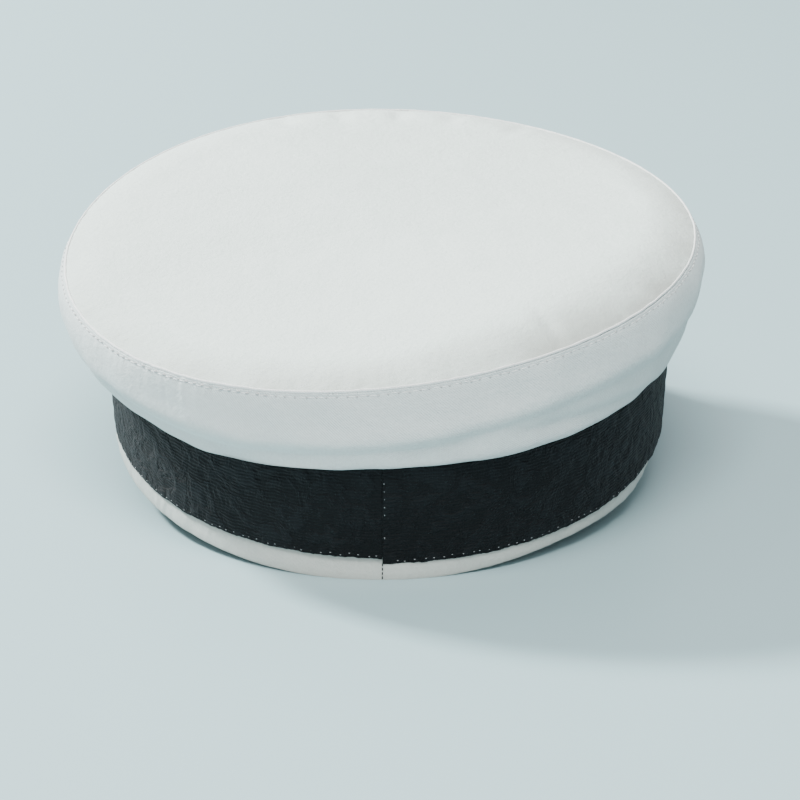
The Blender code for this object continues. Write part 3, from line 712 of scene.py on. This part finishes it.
def side_folds(phi, share):
    """How far the cloth stands out of (+) or in from (-) the plain side."""
    fold = sum(crease(phi % FULL_TURN, share, *line) for line in SIDE_CREASES)
    fold -= 0.0026 * lobe(phi, 262, 16) * bump(share, 0.56, 0.13)
    waves = band_noise(phi, share * 0.03, 11, 0.012, 0.06)
    fold += 0.00038 * waves * sin(pi * clip(share, 0, 1)) ** 0.7
    pucker = edge_noise(phi, 5, 0.0026, 0.0075, 20) * exp(-(1 - share) / 0.16)
    fold += (0.00006 + 0.00012 * lobe(phi, 146, 26)) * pucker
    return fold - 0.00016 * bump(share, STITCH_SHARE, 0.010)


def side_surface(phi, share):
    """Points and normals of the crown side with its folds."""
    point, normal = side_profile(phi, share)
    fade = clip(share / 0.12, 0, 1) ** 0.5 * (0.5 + 0.5 * clip((1 - share) / 0.012, 0, 1))
    return point + ((side_folds(phi, share) + CLOTH_PROUD) * fade)[..., None] * normal, normal


def crown_side(node, start, end, length):
    """One piece of the crown side, as a folded sheet of twill."""
    count = int(abs(end - start) / radians(0.45))
    phi, share = lattice(linspace(start, end, count), linspace(0, 1, 80))
    piece = surface(node + "_cloth", side_surface(phi, share)[0], "side", "white_cotton",
                    flat=(length, 0.036), node=node, thick=TWILL_THICK)


def panel(points):
    """Vertices and faces of a grid of closed rings, its last ring filled from the middle."""
    rows, columns = points.shape[:2]
    vertices = concatenate([points.reshape(-1, 3), [points[:, -1].mean(0)]])
    index, _ = grid_faces(rows, columns, True, False)
    total = rows * columns
    return vertices, index.tolist() + fan(range(columns - 1, total, columns), total)


def crown_top():
    """Top panel: drawn down to the seam all round, almost flat inside it."""
    steps = concatenate([linspace(0.0, 0.024, 34), linspace(0.027, 0.095, 30)])
    phi, inset = lattice(around(540), steps)
    shrink = clip(1 - inset / RIM_HALF_WIDTH, 0, 1)
    x = RIM_HALF_WIDTH * (1 + RIM_EGG * cos(phi)) * shrink * sin(phi)
    y = -RIM_HALF_LENGTH * shrink * cos(phi)
    right_rear = lobe(phi, 224, 38)
    edge = clip(1 - inset / (TOP_EDGE_WIDTH + 0.0100 * right_rear), 0, 1)
    crown = (TOP_EDGE_RISE + 0.0046 * right_rear) * (1 - edge ** 2)
    crown += (TOP_MIDDLE_RISE - crown) * (1 - shrink ** 2) ** 2
    place = stack([x, y], -1)
    crown += 0.00030 * wave_noise(place, 3, 0.030, 0.110) * clip(inset / 0.012, 0, 1)
    crown += 0.00010 * wave_noise(place, 8, 0.008, 0.022) * clip(inset / 0.006, 0, 1)
    pucker = edge_noise(phi, 21, 0.004, 0.013, 22)
    crown += 0.00011 * pucker * exp(-inset / 0.0065) * clip(inset / 0.0012, 0, 1)
    crown -= lobes(phi, TOP_DENTS) * bump(inset, 0.0080, 0.0060)
    crown -= 0.0009 * lobe(phi, 212, 1.6) * bump(inset, 0.010, 0.006)
    level = rim_level(phi, x, y, 1 - (1 - shrink ** 2) ** 5)
    points = vectors(RIM_CENTRE_X + x, RIM_CENTRE_Y + y, level + crown + TOP_PROUD)
    points[:, 0] = rim_point(phi[:, 0], 0.0, TOP_PROUD)
    vertices, faces = panel(points)
    piece = new_piece("crown_top_cloth", vertices, faces, "top", "white_cotton", "crown_top",
                      thick=TWILL_THICK)


def crown_rim():
    """The seam ridge, the topstitching under it and painted shadows of the dents it pulls into the
    cloth.
    """
    phi = around(1080)
    right = lobe(phi, 235, 45)
    wander = edge_noise(phi, 31, 0.006, 0.05)
    path = rim_point(phi, 0.00006 * wander, 0.0002 + 0.0002 * right + 0.00005 * wander)
    girth = (0.00038 - 0.00008 * right) * (1 + 0.08 * edge_noise(phi, 41, 0.004, 0.03))
    # The ridge is drawn in the lighter twill, a painted highlight
    tube("rim_seam_ridge", path, girth, "rim", "white_cotton", 12, squash=1.35,
         flat=(0.65, 0.004), node="rim_welt")

    rng = np.random.default_rng(7)
    pitch = FULL_TURN / RIM_STITCHES
    phi = (arange(RIM_STITCHES) + rng.uniform(-0.10, 0.10, RIM_STITCHES)) * pitch
    base, normal = side_surface(phi, STITCH_SHARE + rng.normal(0, 0.003, RIM_STITCHES))
    stitch_row("rim_topstitch", base, normal, 0.0020, 0.00018, "white_thread", "white_cotton",
               0.00002)
    # Dark beads between the stitches are painted shadows of the dents, longer where the thread
    # pulls tight
    between = phi + pitch / 2
    pulled = lobe(between, 136, 24) > 0.3
    for name, chosen, length, radius, rise in (("tight", pulled, 0.0013, 0.00028, 0.010),
                                               ("plain", ~pulled, 0.0008, 0.00023, 0.0)):
        share = STITCH_SHARE + rise + rng.normal(0, 0.004, chosen.sum())
        base, normal = side_surface(between[chosen], share)
        stitch_row("rim_stitch_dent_shadows_" + name, base, normal, length, radius, "stitch_dent_shadow",
                   "white_cotton", 0.00010)


def crown_seams():
    """Ridges where the front and rear side pieces meet."""
    for name, sign in SIDES:
        angle = sign * SIDE_SEAM
        base, normal = side_surface(np.full(60, angle), linspace(0.02, 0.97, 60))
        tube("side_seam_" + name, base - 0.0001 * normal, 0.00055, "side", "white_cotton", 8,
             closed=False, up=outward(angle), squash=0.8, flat=(0.03, 0.003))


# ---- band

def band_edge(phi):
    """Height of the black band's lower edge, which steps at its join."""
    before = 0.0009 * bump(phi, BAND_JOIN, radians(26))
    after = -0.0004 * bump(phi, BAND_JOIN - FULL_TURN, radians(30))
    after -= 0.0006 * bump(phi, BAND_JOIN - FULL_TURN, radians(7))
    droop = -0.0020 * lobe(phi, 266, 13)
    ragged = 0.00014 * edge_noise(phi, 51, 0.0015, 0.02, 20)
    return HEM_STRIP + before + after + droop + ragged


def mohair_band():
    """Black ribbed band, its ends meeting at the back with one edge a little higher."""
    lap = 0.0003
    phi, share = lattice(linspace(BAND_JOIN - FULL_TURN + lap, BAND_JOIN - lap, 1100),
                         linspace(0, 1, 46))
    low = band_edge(phi)
    relief = 0.00012 * band_noise(phi, share * 0.032, 61, 0.004, 0.02, 20)
    ends = bump(phi, BAND_JOIN, 0.02) + bump(phi, BAND_JOIN - FULL_TURN, 0.02)
    offset = relief + 0.00010 * ends - 0.0004 * (1 - clip(share / 0.03, 0, 1)) ** 2
    points = band_point(phi, offset, low + (BAND_HEIGHT - low) * share)
    piece = surface("mohair_band_cloth", points, "mohair", "black_mohair",
                    flat=(BAND_LENGTH, 0.0322), node="mohair_band", thick=0.0010)

    rng = np.random.default_rng(17)
    count = 196
    phi = BAND_JOIN - (arange(count) + 0.5 + rng.uniform(-0.2, 0.2, count)) * FULL_TURN / count
    level = band_edge(phi) + 0.0013 + rng.normal(0, 0.00018, count)
    sunk = rng.uniform(-0.00016, 0.00005, count)
    band_stitches("band_edge_stitches", phi, sunk, level, 0.00050, 0.00012, "grey_thread",
                  "white_cotton", 0.00008)
    level = linspace(HEM_STRIP + 0.003, BAND_HEIGHT - 0.003, 11)
    sunk = rng.uniform(-0.00010, 0.00004, 11)
    phi = BAND_JOIN + 0.006 + rng.uniform(-0.002, 0.002, 11)
    band_stitches("band_join_stitches", phi, sunk, level, 0.0005, 0.00011, "grey_thread",
                  "white_cotton", 0.00008)


def hem_profile():
    """Folded lower edge of the band's base: (offset, height) pairs up the face and back."""
    face = [(-0.0013, BAND_HEIGHT), (-0.0013, HEM_STRIP + 0.0022), (-0.0011, HEM_STRIP + 0.0004),
            (-0.0006, HEM_STRIP - 0.0012), (-0.0004, 0.0022), (-0.0004, 0.0009)]
    turn = [(-0.0005, 0.00035), (-0.0009, 0.00008), (-0.0016, 0.0), (-0.0026, 0.0001),
            (-0.0032, 0.0005)]
    back = [(-0.0034, 0.0012), (-0.0034, 0.0050), (-0.0024, 0.0056), (-0.0022, BAND_HEIGHT)]
    profile = array(face + turn + back)
    fine = []
    for start, end in zip(profile, profile[1:]):
        steps = 2 if np.linalg.norm(end - start) < 0.004 else 4
        fine += [start + (end - start) * k / steps for k in range(steps)]
    return array(fine + [profile[-1]])


def hem_push(phi, height):
    """How far the hem stands out where it is pressed and puckered, and in where it turns under."""
    low = clip(1 - height / HEM_STRIP, 0, 1)
    push = low * (0.0030 * lobe(phi, 165, 33) - 0.0022 * lobe(phi, 257, 17))
    crinkle = 0.00014 * edge_noise(phi, 71, 0.003, 0.018, 20)
    slow = 0.00012 * edge_noise(phi, 73, 0.03, 0.12, 8)
    return push + bump(height, 0.0028, 0.0030) * (crinkle + slow)


def hem():
    """White base of the band, its hem puckered by the seam and pressed flat where it rests."""
    profile = hem_profile()
    phi, column = lattice(around(1000), arange(len(profile)))
    offset, height = profile[column, 0], profile[column, 1]
    low = clip(1 - height / HEM_STRIP, 0, 1)
    points = band_point(phi, offset + hem_push(phi, height),
                        height + 0.0016 * low * lobe(phi, 217, 19))
    piece = surface("base_band_cloth", points, "hem", "white_cotton", wrap_rows=True, flip=True,
                    grounded=True, flat=(BAND_LENGTH, 0.09 * (1 - 1 / len(profile))),
                    node="base_band", thick=0.0003)

    level = array([0.0012, 0.0024, 0.0036, 0.0048])
    phi = np.full(4, BAND_JOIN)
    band_stitches("hem_join_stitches", phi, -0.0004 + hem_push(phi, level), level, 0.0009,
                  0.00020, "black_thread", "black_mohair", 0.00010)


# ---- inside

def lining():
    """Gathered lining side, lining top and the clear shield stitched under it."""
    phi, share = lattice(around(720), linspace(0, 1, 40))
    keys = [band_point(phi, -LINING_EDGE_DEPTH, 0.030), band_point(phi, -LINING_EDGE_DEPTH, 0.039),
            rim_point(phi, 0.0090, -0.0125), rim_point(phi, 0.0172, -0.0075)]
    stops = (0, 0.22, 0.72, 1.0)
    points = sum(np.interp(share, stops, weights)[..., None] * key
                 for weights, key in zip(np.eye(4), keys))
    gather = band_noise(phi, share * 0.01, 81, 0.006, 0.016, 20)
    points -= (0.0004 * (gather + 1) * sin(pi * share))[..., None] * outward(phi)
    side = surface("lining_side_cloth", points, "lining", "lining", wrap_rows=True,
                   flat=(0.6, 0.036), node="crown_lining_side", thick=-0.0004)

    top = oval_panel("lining_top_cloth", 0.0178, -0.0078, -0.0068, 91, 0.0003, "lining",
                     "lining", node="crown_lining_top", thick=-0.0004)
    oval_panel("sweat_shield_film", 0.0400, -0.0087, -0.0080, 95, 0.0001, "film",
               "clear_plastic", node="sweat_shield", thick=-0.0003)
    seam = rim_point(around(150), 0.0425, -0.0091)
    stitch_row("sweat_shield_stitches", seam, np.tile(-UP, (150, 1)), 0.0020, 0.00018,
               "white_thread", "lining")


def oval_panel(name, inset, edge_lift, middle_lift, seed, swing, look, slot, **how):
    """Oval panel that hangs under the crown."""
    phi, share = lattice(around(360), linspace(0, 0.97, 30))
    shrink = 1 - share
    edge = rim_point(phi, inset, 0.0)
    x = (edge[..., 0] - RIM_CENTRE_X) * shrink
    y = (edge[..., 1] - RIM_CENTRE_Y) * shrink
    lift = edge_lift + (middle_lift - edge_lift) * (1 - shrink ** 2)
    lift += swing * wave_noise(stack([x, y], -1), seed, 0.02, 0.07) * clip(share * 6, 0, 1)
    level = rim_level(phi, x, y, shrink ** 2)
    vertices, faces = panel(vectors(RIM_CENTRE_X + x, RIM_CENTRE_Y + y, level + lift))
    return new_piece(name, vertices, faces, look, slot,
                     coordinates=vertices[concatenate(faces), :2], **how)


def sweatband():
    """Leather sweatband with its stitched foot, the bow at its back and a blank size tab."""
    outer, inner, foot = -SWEATBAND_DEPTH, SWEATBAND_INSIDE, -SWEATBAND_FOOT_DEPTH
    top = SWEATBAND_HEIGHT
    profile = array([(foot, 0.0008), (outer + 0.0003, 0.0018), (outer, 0.0040),
                        (outer, 0.014), (outer, 0.024), (outer, top - 0.0006),
                        ((outer + inner) / 2, top), (inner, top - 0.0006), (inner, 0.024),
                        (inner, 0.014), (inner, 0.0046), (inner + 0.0003, 0.0034),
                        (foot - SWEATBAND_THICK, 0.0008), (foot - SWEATBAND_THICK / 2, 0.0005)])
    phi, column = lattice(around(720), arange(len(profile)))
    offset, height = profile[column, 0], profile[column, 1]
    wave = 0.00025 * (band_noise(phi, height, 101, 0.02, 0.08) + 1)
    offset -= wave * clip((height - 0.010) / 0.02, 0, 1)
    surface("sweatband_leather", band_point(phi, offset, height), "leather", "leather",
            wrap_rows=True, wrap_columns=True, flat=(0.57, 0.08), node="sweatband")
    band_stitches("sweatband_stitches", around(230), inner, 0.0068, 0.0017, 0.00020,
                  "gold_thread", "leather", 0.00008, inside=True)
    bow()
    phi, share = lattice(linspace(radians(150), radians(162), 40), linspace(0, 1, 24))
    curl = 0.0002 * sin(share * pi) + 0.0001 * band_noise(phi, share * 0.012, 111, 0.006, 0.02)
    points = band_point(phi, inner - 0.0005 - curl, 0.010 + 0.012 * share)
    tab = surface("size_label_ribbon", points, "ribbon", "ribbon", flat=(0.021, 0.012),
                  node="size_label", thick=0.0003)


def bow():
    """One ribbon folded in two flat loops and a knot, lying on the sweatband at the back."""
    near = SWEATBAND_INSIDE - 0.0006
    middle = 0.018
    grids = []
    turn = around(48)[:, None]
    across = linspace(-1, 1, 9)
    reach = 0.5 - 0.5 * cos(turn)
    half_width = 0.0024 + 0.0028 * sin(pi * clip(reach * 0.62, 0, 1))
    for sign in (1, -1):
        grids.append(band_point(pi + sign * (0.012 + 0.092 * reach),
                                near - 0.0006 - 0.00055 * sin(turn),
                                middle + half_width * across))
    turn = around(24)[:, None]
    across = linspace(-1, 1, 7)
    grids.append(band_point(pi + 0.018 * cos(turn) * (1 - 0.25 * across ** 2),
                            near - 0.0009 - 0.0008 * sin(turn) * (1 - 0.3 * across ** 2),
                            middle + 0.0021 * across))
    vertices, faces, corners = [], [], []
    for part in grids:
        index, places = grid_faces(*part.shape[:2], True, False)
        faces += (index + len(vertices)).tolist()
        vertices += part.reshape(-1, 3).tolist()
        corners += (places * 0.0006).reshape(-1, 2).tolist()
    ribbon = new_piece("bow_ribbon", array(vertices), faces, "ribbon", "ribbon",
                       "sweatband_bow", coordinates=corners, thick=0.00022)


# ---- peak

def peak_reach(phi):
    """How far the peak stands out at an angle, and that as a share between end and middle."""
    fullness = clip(1 - np.abs(phi / PEAK_END) ** 2.2, 0, 1) ** 0.7
    return PEAK_END_REACH + (PEAK_REACH - PEAK_END_REACH) * fullness, fullness


def peak_frame(phi, share):
    """Points of the peak's upper face, with its normal and its direction away from the band."""
    reach, fullness = peak_reach(phi)
    slope = (PEAK_SLOPE + PEAK_SLOPE_SIDES * (phi / PEAK_END) ** 2)[..., None]
    out = outward(phi)
    away = cos(slope) * out - sin(slope) * UP
    normal = sin(slope) * out + cos(slope) * UP
    camber = 4 * PEAK_CAMBER * share * (1 - share) * fullness
    point = band_point(phi, -0.0002, 0.0009) + (share * reach)[..., None] * away \
        + camber[..., None] * normal
    return point, normal, away


def peak_layer(name, node, top_depth, base_depth, look):
    """One layer of the peak as a closed curved plate."""
    phi, share = lattice(linspace(-PEAK_END, PEAK_END, 240), linspace(0, 1, 26))
    point, normal, _ = peak_frame(phi, share)
    blend = clip(share / 0.06, 0, 1)[..., None]
    direction = UP / normal[..., 2:] * (1 - blend) + normal * blend
    lower = (point - base_depth * direction)[:, ::-1]
    ring = concatenate([point - top_depth * direction, lower], 1)
    surface(name, ring, look, look, wrap_columns=True, flat=(0.2, 0.1), caps=True, flip=True,
            node=node)


def peak():
    """Patent shell, leathercloth lining, bound edge and the stitching through it."""
    under = PEAK_THICK + GAP
    edge = under + PEAK_LINING_THICK + GAP
    peak_layer("peak_shell_patent", "peak_shell", 0, PEAK_THICK, "patent")
    peak_layer("peak_lining_cloth", "peak_lining", under, under + PEAK_LINING_THICK,
               "peak_cloth")
    wall, leg = BINDING_WALL, -BINDING_LEG
    turn_in = -0.0015
    half = (edge + GAP) / 2 + wall
    middle = (GAP - edge) / 2
    outer = [(leg, GAP + wall * 0.05), (leg, GAP + wall * 0.7), (leg + 0.0006, GAP + wall),
             (turn_in, GAP + wall * 1.05)]
    outer += [(GAP + wall * (0.25 + 0.75 * cos(angle) ** 0.8), middle + half * sin(angle))
              for angle in linspace(pi / 2, -pi / 2, 13)]
    outer += [(turn_in, -edge - wall * 1.05), (leg + 0.0006, -edge - wall),
              (leg, -edge - wall * 0.7), (leg, -edge), (GAP * 0.8, -edge), (GAP * 0.8, GAP)]
    phi = linspace(-PEAK_END, PEAK_END, 320)
    sections = []
    for along, up in outer:
        on_leg = along <= turn_in
        share = 1 + (along if on_leg else 0.0) / peak_reach(phi)[0]
        point, normal, away = peak_frame(phi, share)
        sections.append(point + (0.0 if on_leg else along) * away + up * normal)
    surface("peak_binding_patent", stack(sections, 1), "patent", "patent",
            wrap_columns=True, caps=True, flip=True, grounded=True, node="peak_binding")
    phi = linspace(-PEAK_END * 0.975, PEAK_END * 0.975, 108)
    point, normal, _ = peak_frame(phi, 1 - 0.0024 / peak_reach(phi)[0])
    stitch_row("peak_binding_stitches", point + (GAP + wall) * normal, normal, 0.0016, 0.00020,
               "black_thread", "patent", 0.00010)


# ---- strap, buttons and badge

def strap_half_width(phi):
    """Half the strap's width, with rounded ends."""
    taper = np.ones_like(phi)
    for left in ((STRAP_TAB_END - phi) / radians(4), (phi + STRAP_LAP) / radians(3)):
        near = clip(left, 0, 1)
        taper = np.minimum(taper, 0.45 + 0.55 * np.sqrt(1 - (1 - near) ** 2))
    return (STRAP_HIGH - STRAP_LOW) / 2 * taper


def strap():
    """Two lapped half straps with edge stitching, and the sliding keepers."""
    turn = around(28)
    phi = linspace(-STRAP_LAP, STRAP_TAB_END, 300)[:, None]
    level = STRAP_MIDDLE + strap_half_width(phi) * squared(cos(turn), 0.25)
    shown = linspace(-STRAP_LAP * 0.93, STRAP_TAB_END * 0.965, 74)
    inner = strap_half_width(shown) - 0.0013
    for side, sign in SIDES:
        near, far = STRAP_LAYERS[side]
        name = "chin_strap_" + side
        offset = (near + far) / 2 + (far - near) / 2 * squared(sin(turn), 0.45)
        surface(name + "_patent", band_point(sign * phi, offset, level), "patent", "patent",
                wrap_columns=True, flat=(0.15, 0.026), caps=True, flip=sign > 0, node=name,
                body="chin_strap")
        for edge, way in (("upper", 1), ("lower", -1)):
            band_stitches(name + "_" + edge + "_stitches", sign * shown, far,
                          STRAP_MIDDLE + way * inner, 0.0014, 0.00016, "black_thread",
                          "patent", 0.00005, body="chin_strap")
        keeper(side, sign)


def keeper(side, sign):
    """Rounded leather loop around both half straps."""
    inner = STRAP_LAYERS["left"][0] - GAP
    outer = STRAP_LAYERS["right"][1] + GAP
    phi = sign * KEEPER_ANGLE
    seat = band_point(phi, (inner + outer) / 2, STRAP_MIDDLE)
    normal = unit(outward(phi) - BAND_FLARE * UP)
    along = unit(np.cross(normal, UP))
    rise = np.cross(along, normal)
    half_deep = (outer - inner) / 2 + KEEPER_WALL / 2
    half_high = (STRAP_HIGH - STRAP_LOW) / 2 + GAP + KEEPER_WALL / 2
    angle, turn = around(64)[:, None, None], around(20)[:, None]
    deep = half_deep * squared(cos(angle), 0.22)
    high = half_high * squared(sin(angle), 0.22)
    out = unit(squared(concatenate([deep / half_deep ** 2, high / half_high ** 2], -1), 3))
    wide = KEEPER_LENGTH / 2 * squared(cos(turn), 0.35)
    thick = KEEPER_WALL * 0.46 * squared(sin(turn), 0.6)
    rings = seat + wide * along + (deep + thick * out[..., :1]) * normal \
        + (high + thick * out[..., 1:]) * rise
    surface("strap_keeper_" + side + "_patent", rings, "patent", "patent", wrap_rows=True,
            wrap_columns=True, flat=(0.04, 0.018), flip=True, node="strap_keeper_" + side,
            body="keeper_" + side)


def facing(point, direction):
    """Place at a point of the cap's frame whose Z axis runs along a direction."""
    turn = Vector(direction).to_track_quat("Z", "Y").to_matrix().to_4x4()
    return POSE @ Matrix.Translation(Vector(point)) @ turn


def rope_ring(name, place, radius, level, thick, turns, body):
    """Twisted rope edge around a badge or button."""
    angle, turn = around(turns * 10)[:, None], around(12)
    strand = thick * (1 + 0.22 * cos(2 * turn + angle * turns))
    reach = radius + strand * cos(turn)
    rings = vectors(reach * cos(angle), reach * sin(angle), level + strand * sin(turn))
    surface(name, rings, "gilt", "gilt", True, True, body=body, sharp=70.0, place=place)


def dome(radius, base, height, count):
    """Profile of a dome from near its top down to its rim."""
    return [(radius * sin(angle), base + height * cos(angle))
            for angle in linspace(0.12, pi / 2, count)]


def buttons():
    """Domed buttons with a rope edge, on their shanks."""
    back = BUTTON_STANDOFF
    profile = [(0, back + 0.0036), *dome(0.0058, back + 0.0014, 0.0022, 12),
               (0.0062, back + 0.0012), (0.0070, back + 0.0011),
               (BUTTON_RADIUS - 0.0002, back + 0.0009), (BUTTON_RADIUS - 0.0001, back + 0.0005),
               (BUTTON_RADIUS - 0.0005, back + 0.0001), (SHANK_RADIUS + 0.0012, back),
               (SHANK_RADIUS, back - 0.0004), (SHANK_RADIUS, SHANK_END), (0, SHANK_END)]
    for side, sign in SIDES:
        phi = sign * BUTTON_ANGLE
        place = facing(band_point(phi, 0.0, BUTTON_HEIGHT), outward(phi) - BAND_FLARE * UP)
        name = "side_button_" + side
        turned(name + "_gilt", profile, "gilt", "gilt", place, node=name, body="button_" + side)
        rope_ring(name + "_rope", place, 0.0066, back + 0.0014, 0.00042, 26, "button_" + side)


def badge():
    """Plain badge: a sunburst dish with a smooth boss and a rope edge, on its screw post."""
    point, normal = side_profile(array(0.0), array(0.52))
    place = facing(point + 0.0005 * normal, normal)
    dish_start, dish_end, dish_level = 0.0052, 0.0104, 0.0012

    def rays(angle, radius):
        flute = np.abs(sin(angle * 12)) ** 0.8
        return 0.00055 * flute * bump(radius, 0.0078, 0.0022) \
            * (radius > 0.0050) * (radius < dish_end)

    dish = [(r, dish_level + 0.10 * (r - 0.0050)) for r in linspace(dish_start, dish_end, 12)]
    profile = [(0, 0.0031), *dome(0.0046, dish_level, 0.0019, 10), *dish, (0.0112, 0.0016),
               (0.0118, 0.0012), (0.0119, 0.0006), (0.0115, 0.0001), (0.0020, 0.0),
               (0.0010, -0.0003), (0.0010, -0.0084), (0, -0.0085)]
    turned("cap_badge_gilt", profile, "gilt", "gilt", place, 240, rays, node="cap_badge")
    rope_ring("cap_badge_rope", place, 0.0111, 0.0018, 0.00058, 44, "cap")


def repaint_hidden():
    """Give the carried-over inner pieces their finished materials."""
    looks = {"crown_interlining": "canvas", "crown_hoop": "steel", "hoop_sleeve": "brass",
             "front_stay": "board", "badge_nut": "brass", "band_stiffener": "board",
             "button_pin_left": "brass", "button_pin_right": "brass"}
    for node, look in looks.items():
        for slot in frame["nodes"][node].material_slots:
            slot.material = PAINTS[look]


# ---- stage

FLOOR_HALF = 6
CAMERA_PLACE = Vector((0.0094, 0.9762, 0.3669))
CAMERA_AIM = Vector((-0.0060, 0.0364, 0.0250))
CAMERA_LENS = 140.9
LIGHT_AIM = Vector((0, 0, 0.03))


def look_at(thing, place, aim):
    """Put a light or camera in its place and turn it to a point."""
    thing.location = place
    thing.rotation_euler = (aim - Vector(place)).to_track_quat("-Z", "Y").to_euler()


def area_light(name, place, size, power, colour):
    """Square soft light."""
    data = bpy.data.lights.new(name, "AREA")
    data.size = size
    data.energy = power
    data.color = colour
    look_at(add_object(name, data), place, LIGHT_AIM)


def stage():
    """Pale floor, soft light from the left and a camera behind and above the cap."""
    mesh = bpy.data.meshes.new("floor")
    corners = [(-1, -1), (1, -1), (1, 1), (-1, 1)]
    mesh.from_pydata([(x * FLOOR_HALF, y * FLOOR_HALF, 0) for x, y in corners], [],
                     [[0, 1, 2, 3]])
    floor = add_object("floor", mesh)
    board = Paint("floor_board", (0.337, 0.486, 0.516), 0.42, Specular_IOR_Level=0.75)
    mesh.materials.append(board.material)

    world = bpy.data.worlds.new("studio")
    world.use_nodes = True
    sky = world.node_tree.nodes["Background"]
    sky.inputs["Color"].default_value = (0.88, 0.96, 1.0, 1)
    sky.inputs["Strength"].default_value = 0.72
    bpy.context.scene.world = world
    area_light("key", (1.45, -1.02, 1.31), 0.30, 150.0, (0.97, 1.0, 0.98))
    area_light("overhead", (0.03, 0.60, 1.35), 0.7, 28.0, (1.0, 0.97, 0.94))
    area_light("fill", (0.4, 2.0, 1.0), 1.4, 12.0, (1.0, 0.98, 0.95))

    camera = add_object("camera", bpy.data.cameras.new("camera"))
    look_at(camera, CAMERA_PLACE, CAMERA_AIM)
    camera.data.lens = CAMERA_LENS
    camera.data.sensor_width = 36.0
    camera.data.clip_start = 0.01
    bpy.context.scene.camera = camera


# ---- making

stage()
crown_top()
crown_side("crown_side_rear", SIDE_SEAM, FULL_TURN - SIDE_SEAM, 0.420)
crown_side("crown_side_front", -SIDE_SEAM, SIDE_SEAM, 0.232)
crown_rim()
crown_seams()
mohair_band()
hem()
lining()
sweatband()
peak()
strap()
buttons()
badge()
repaint_hidden()
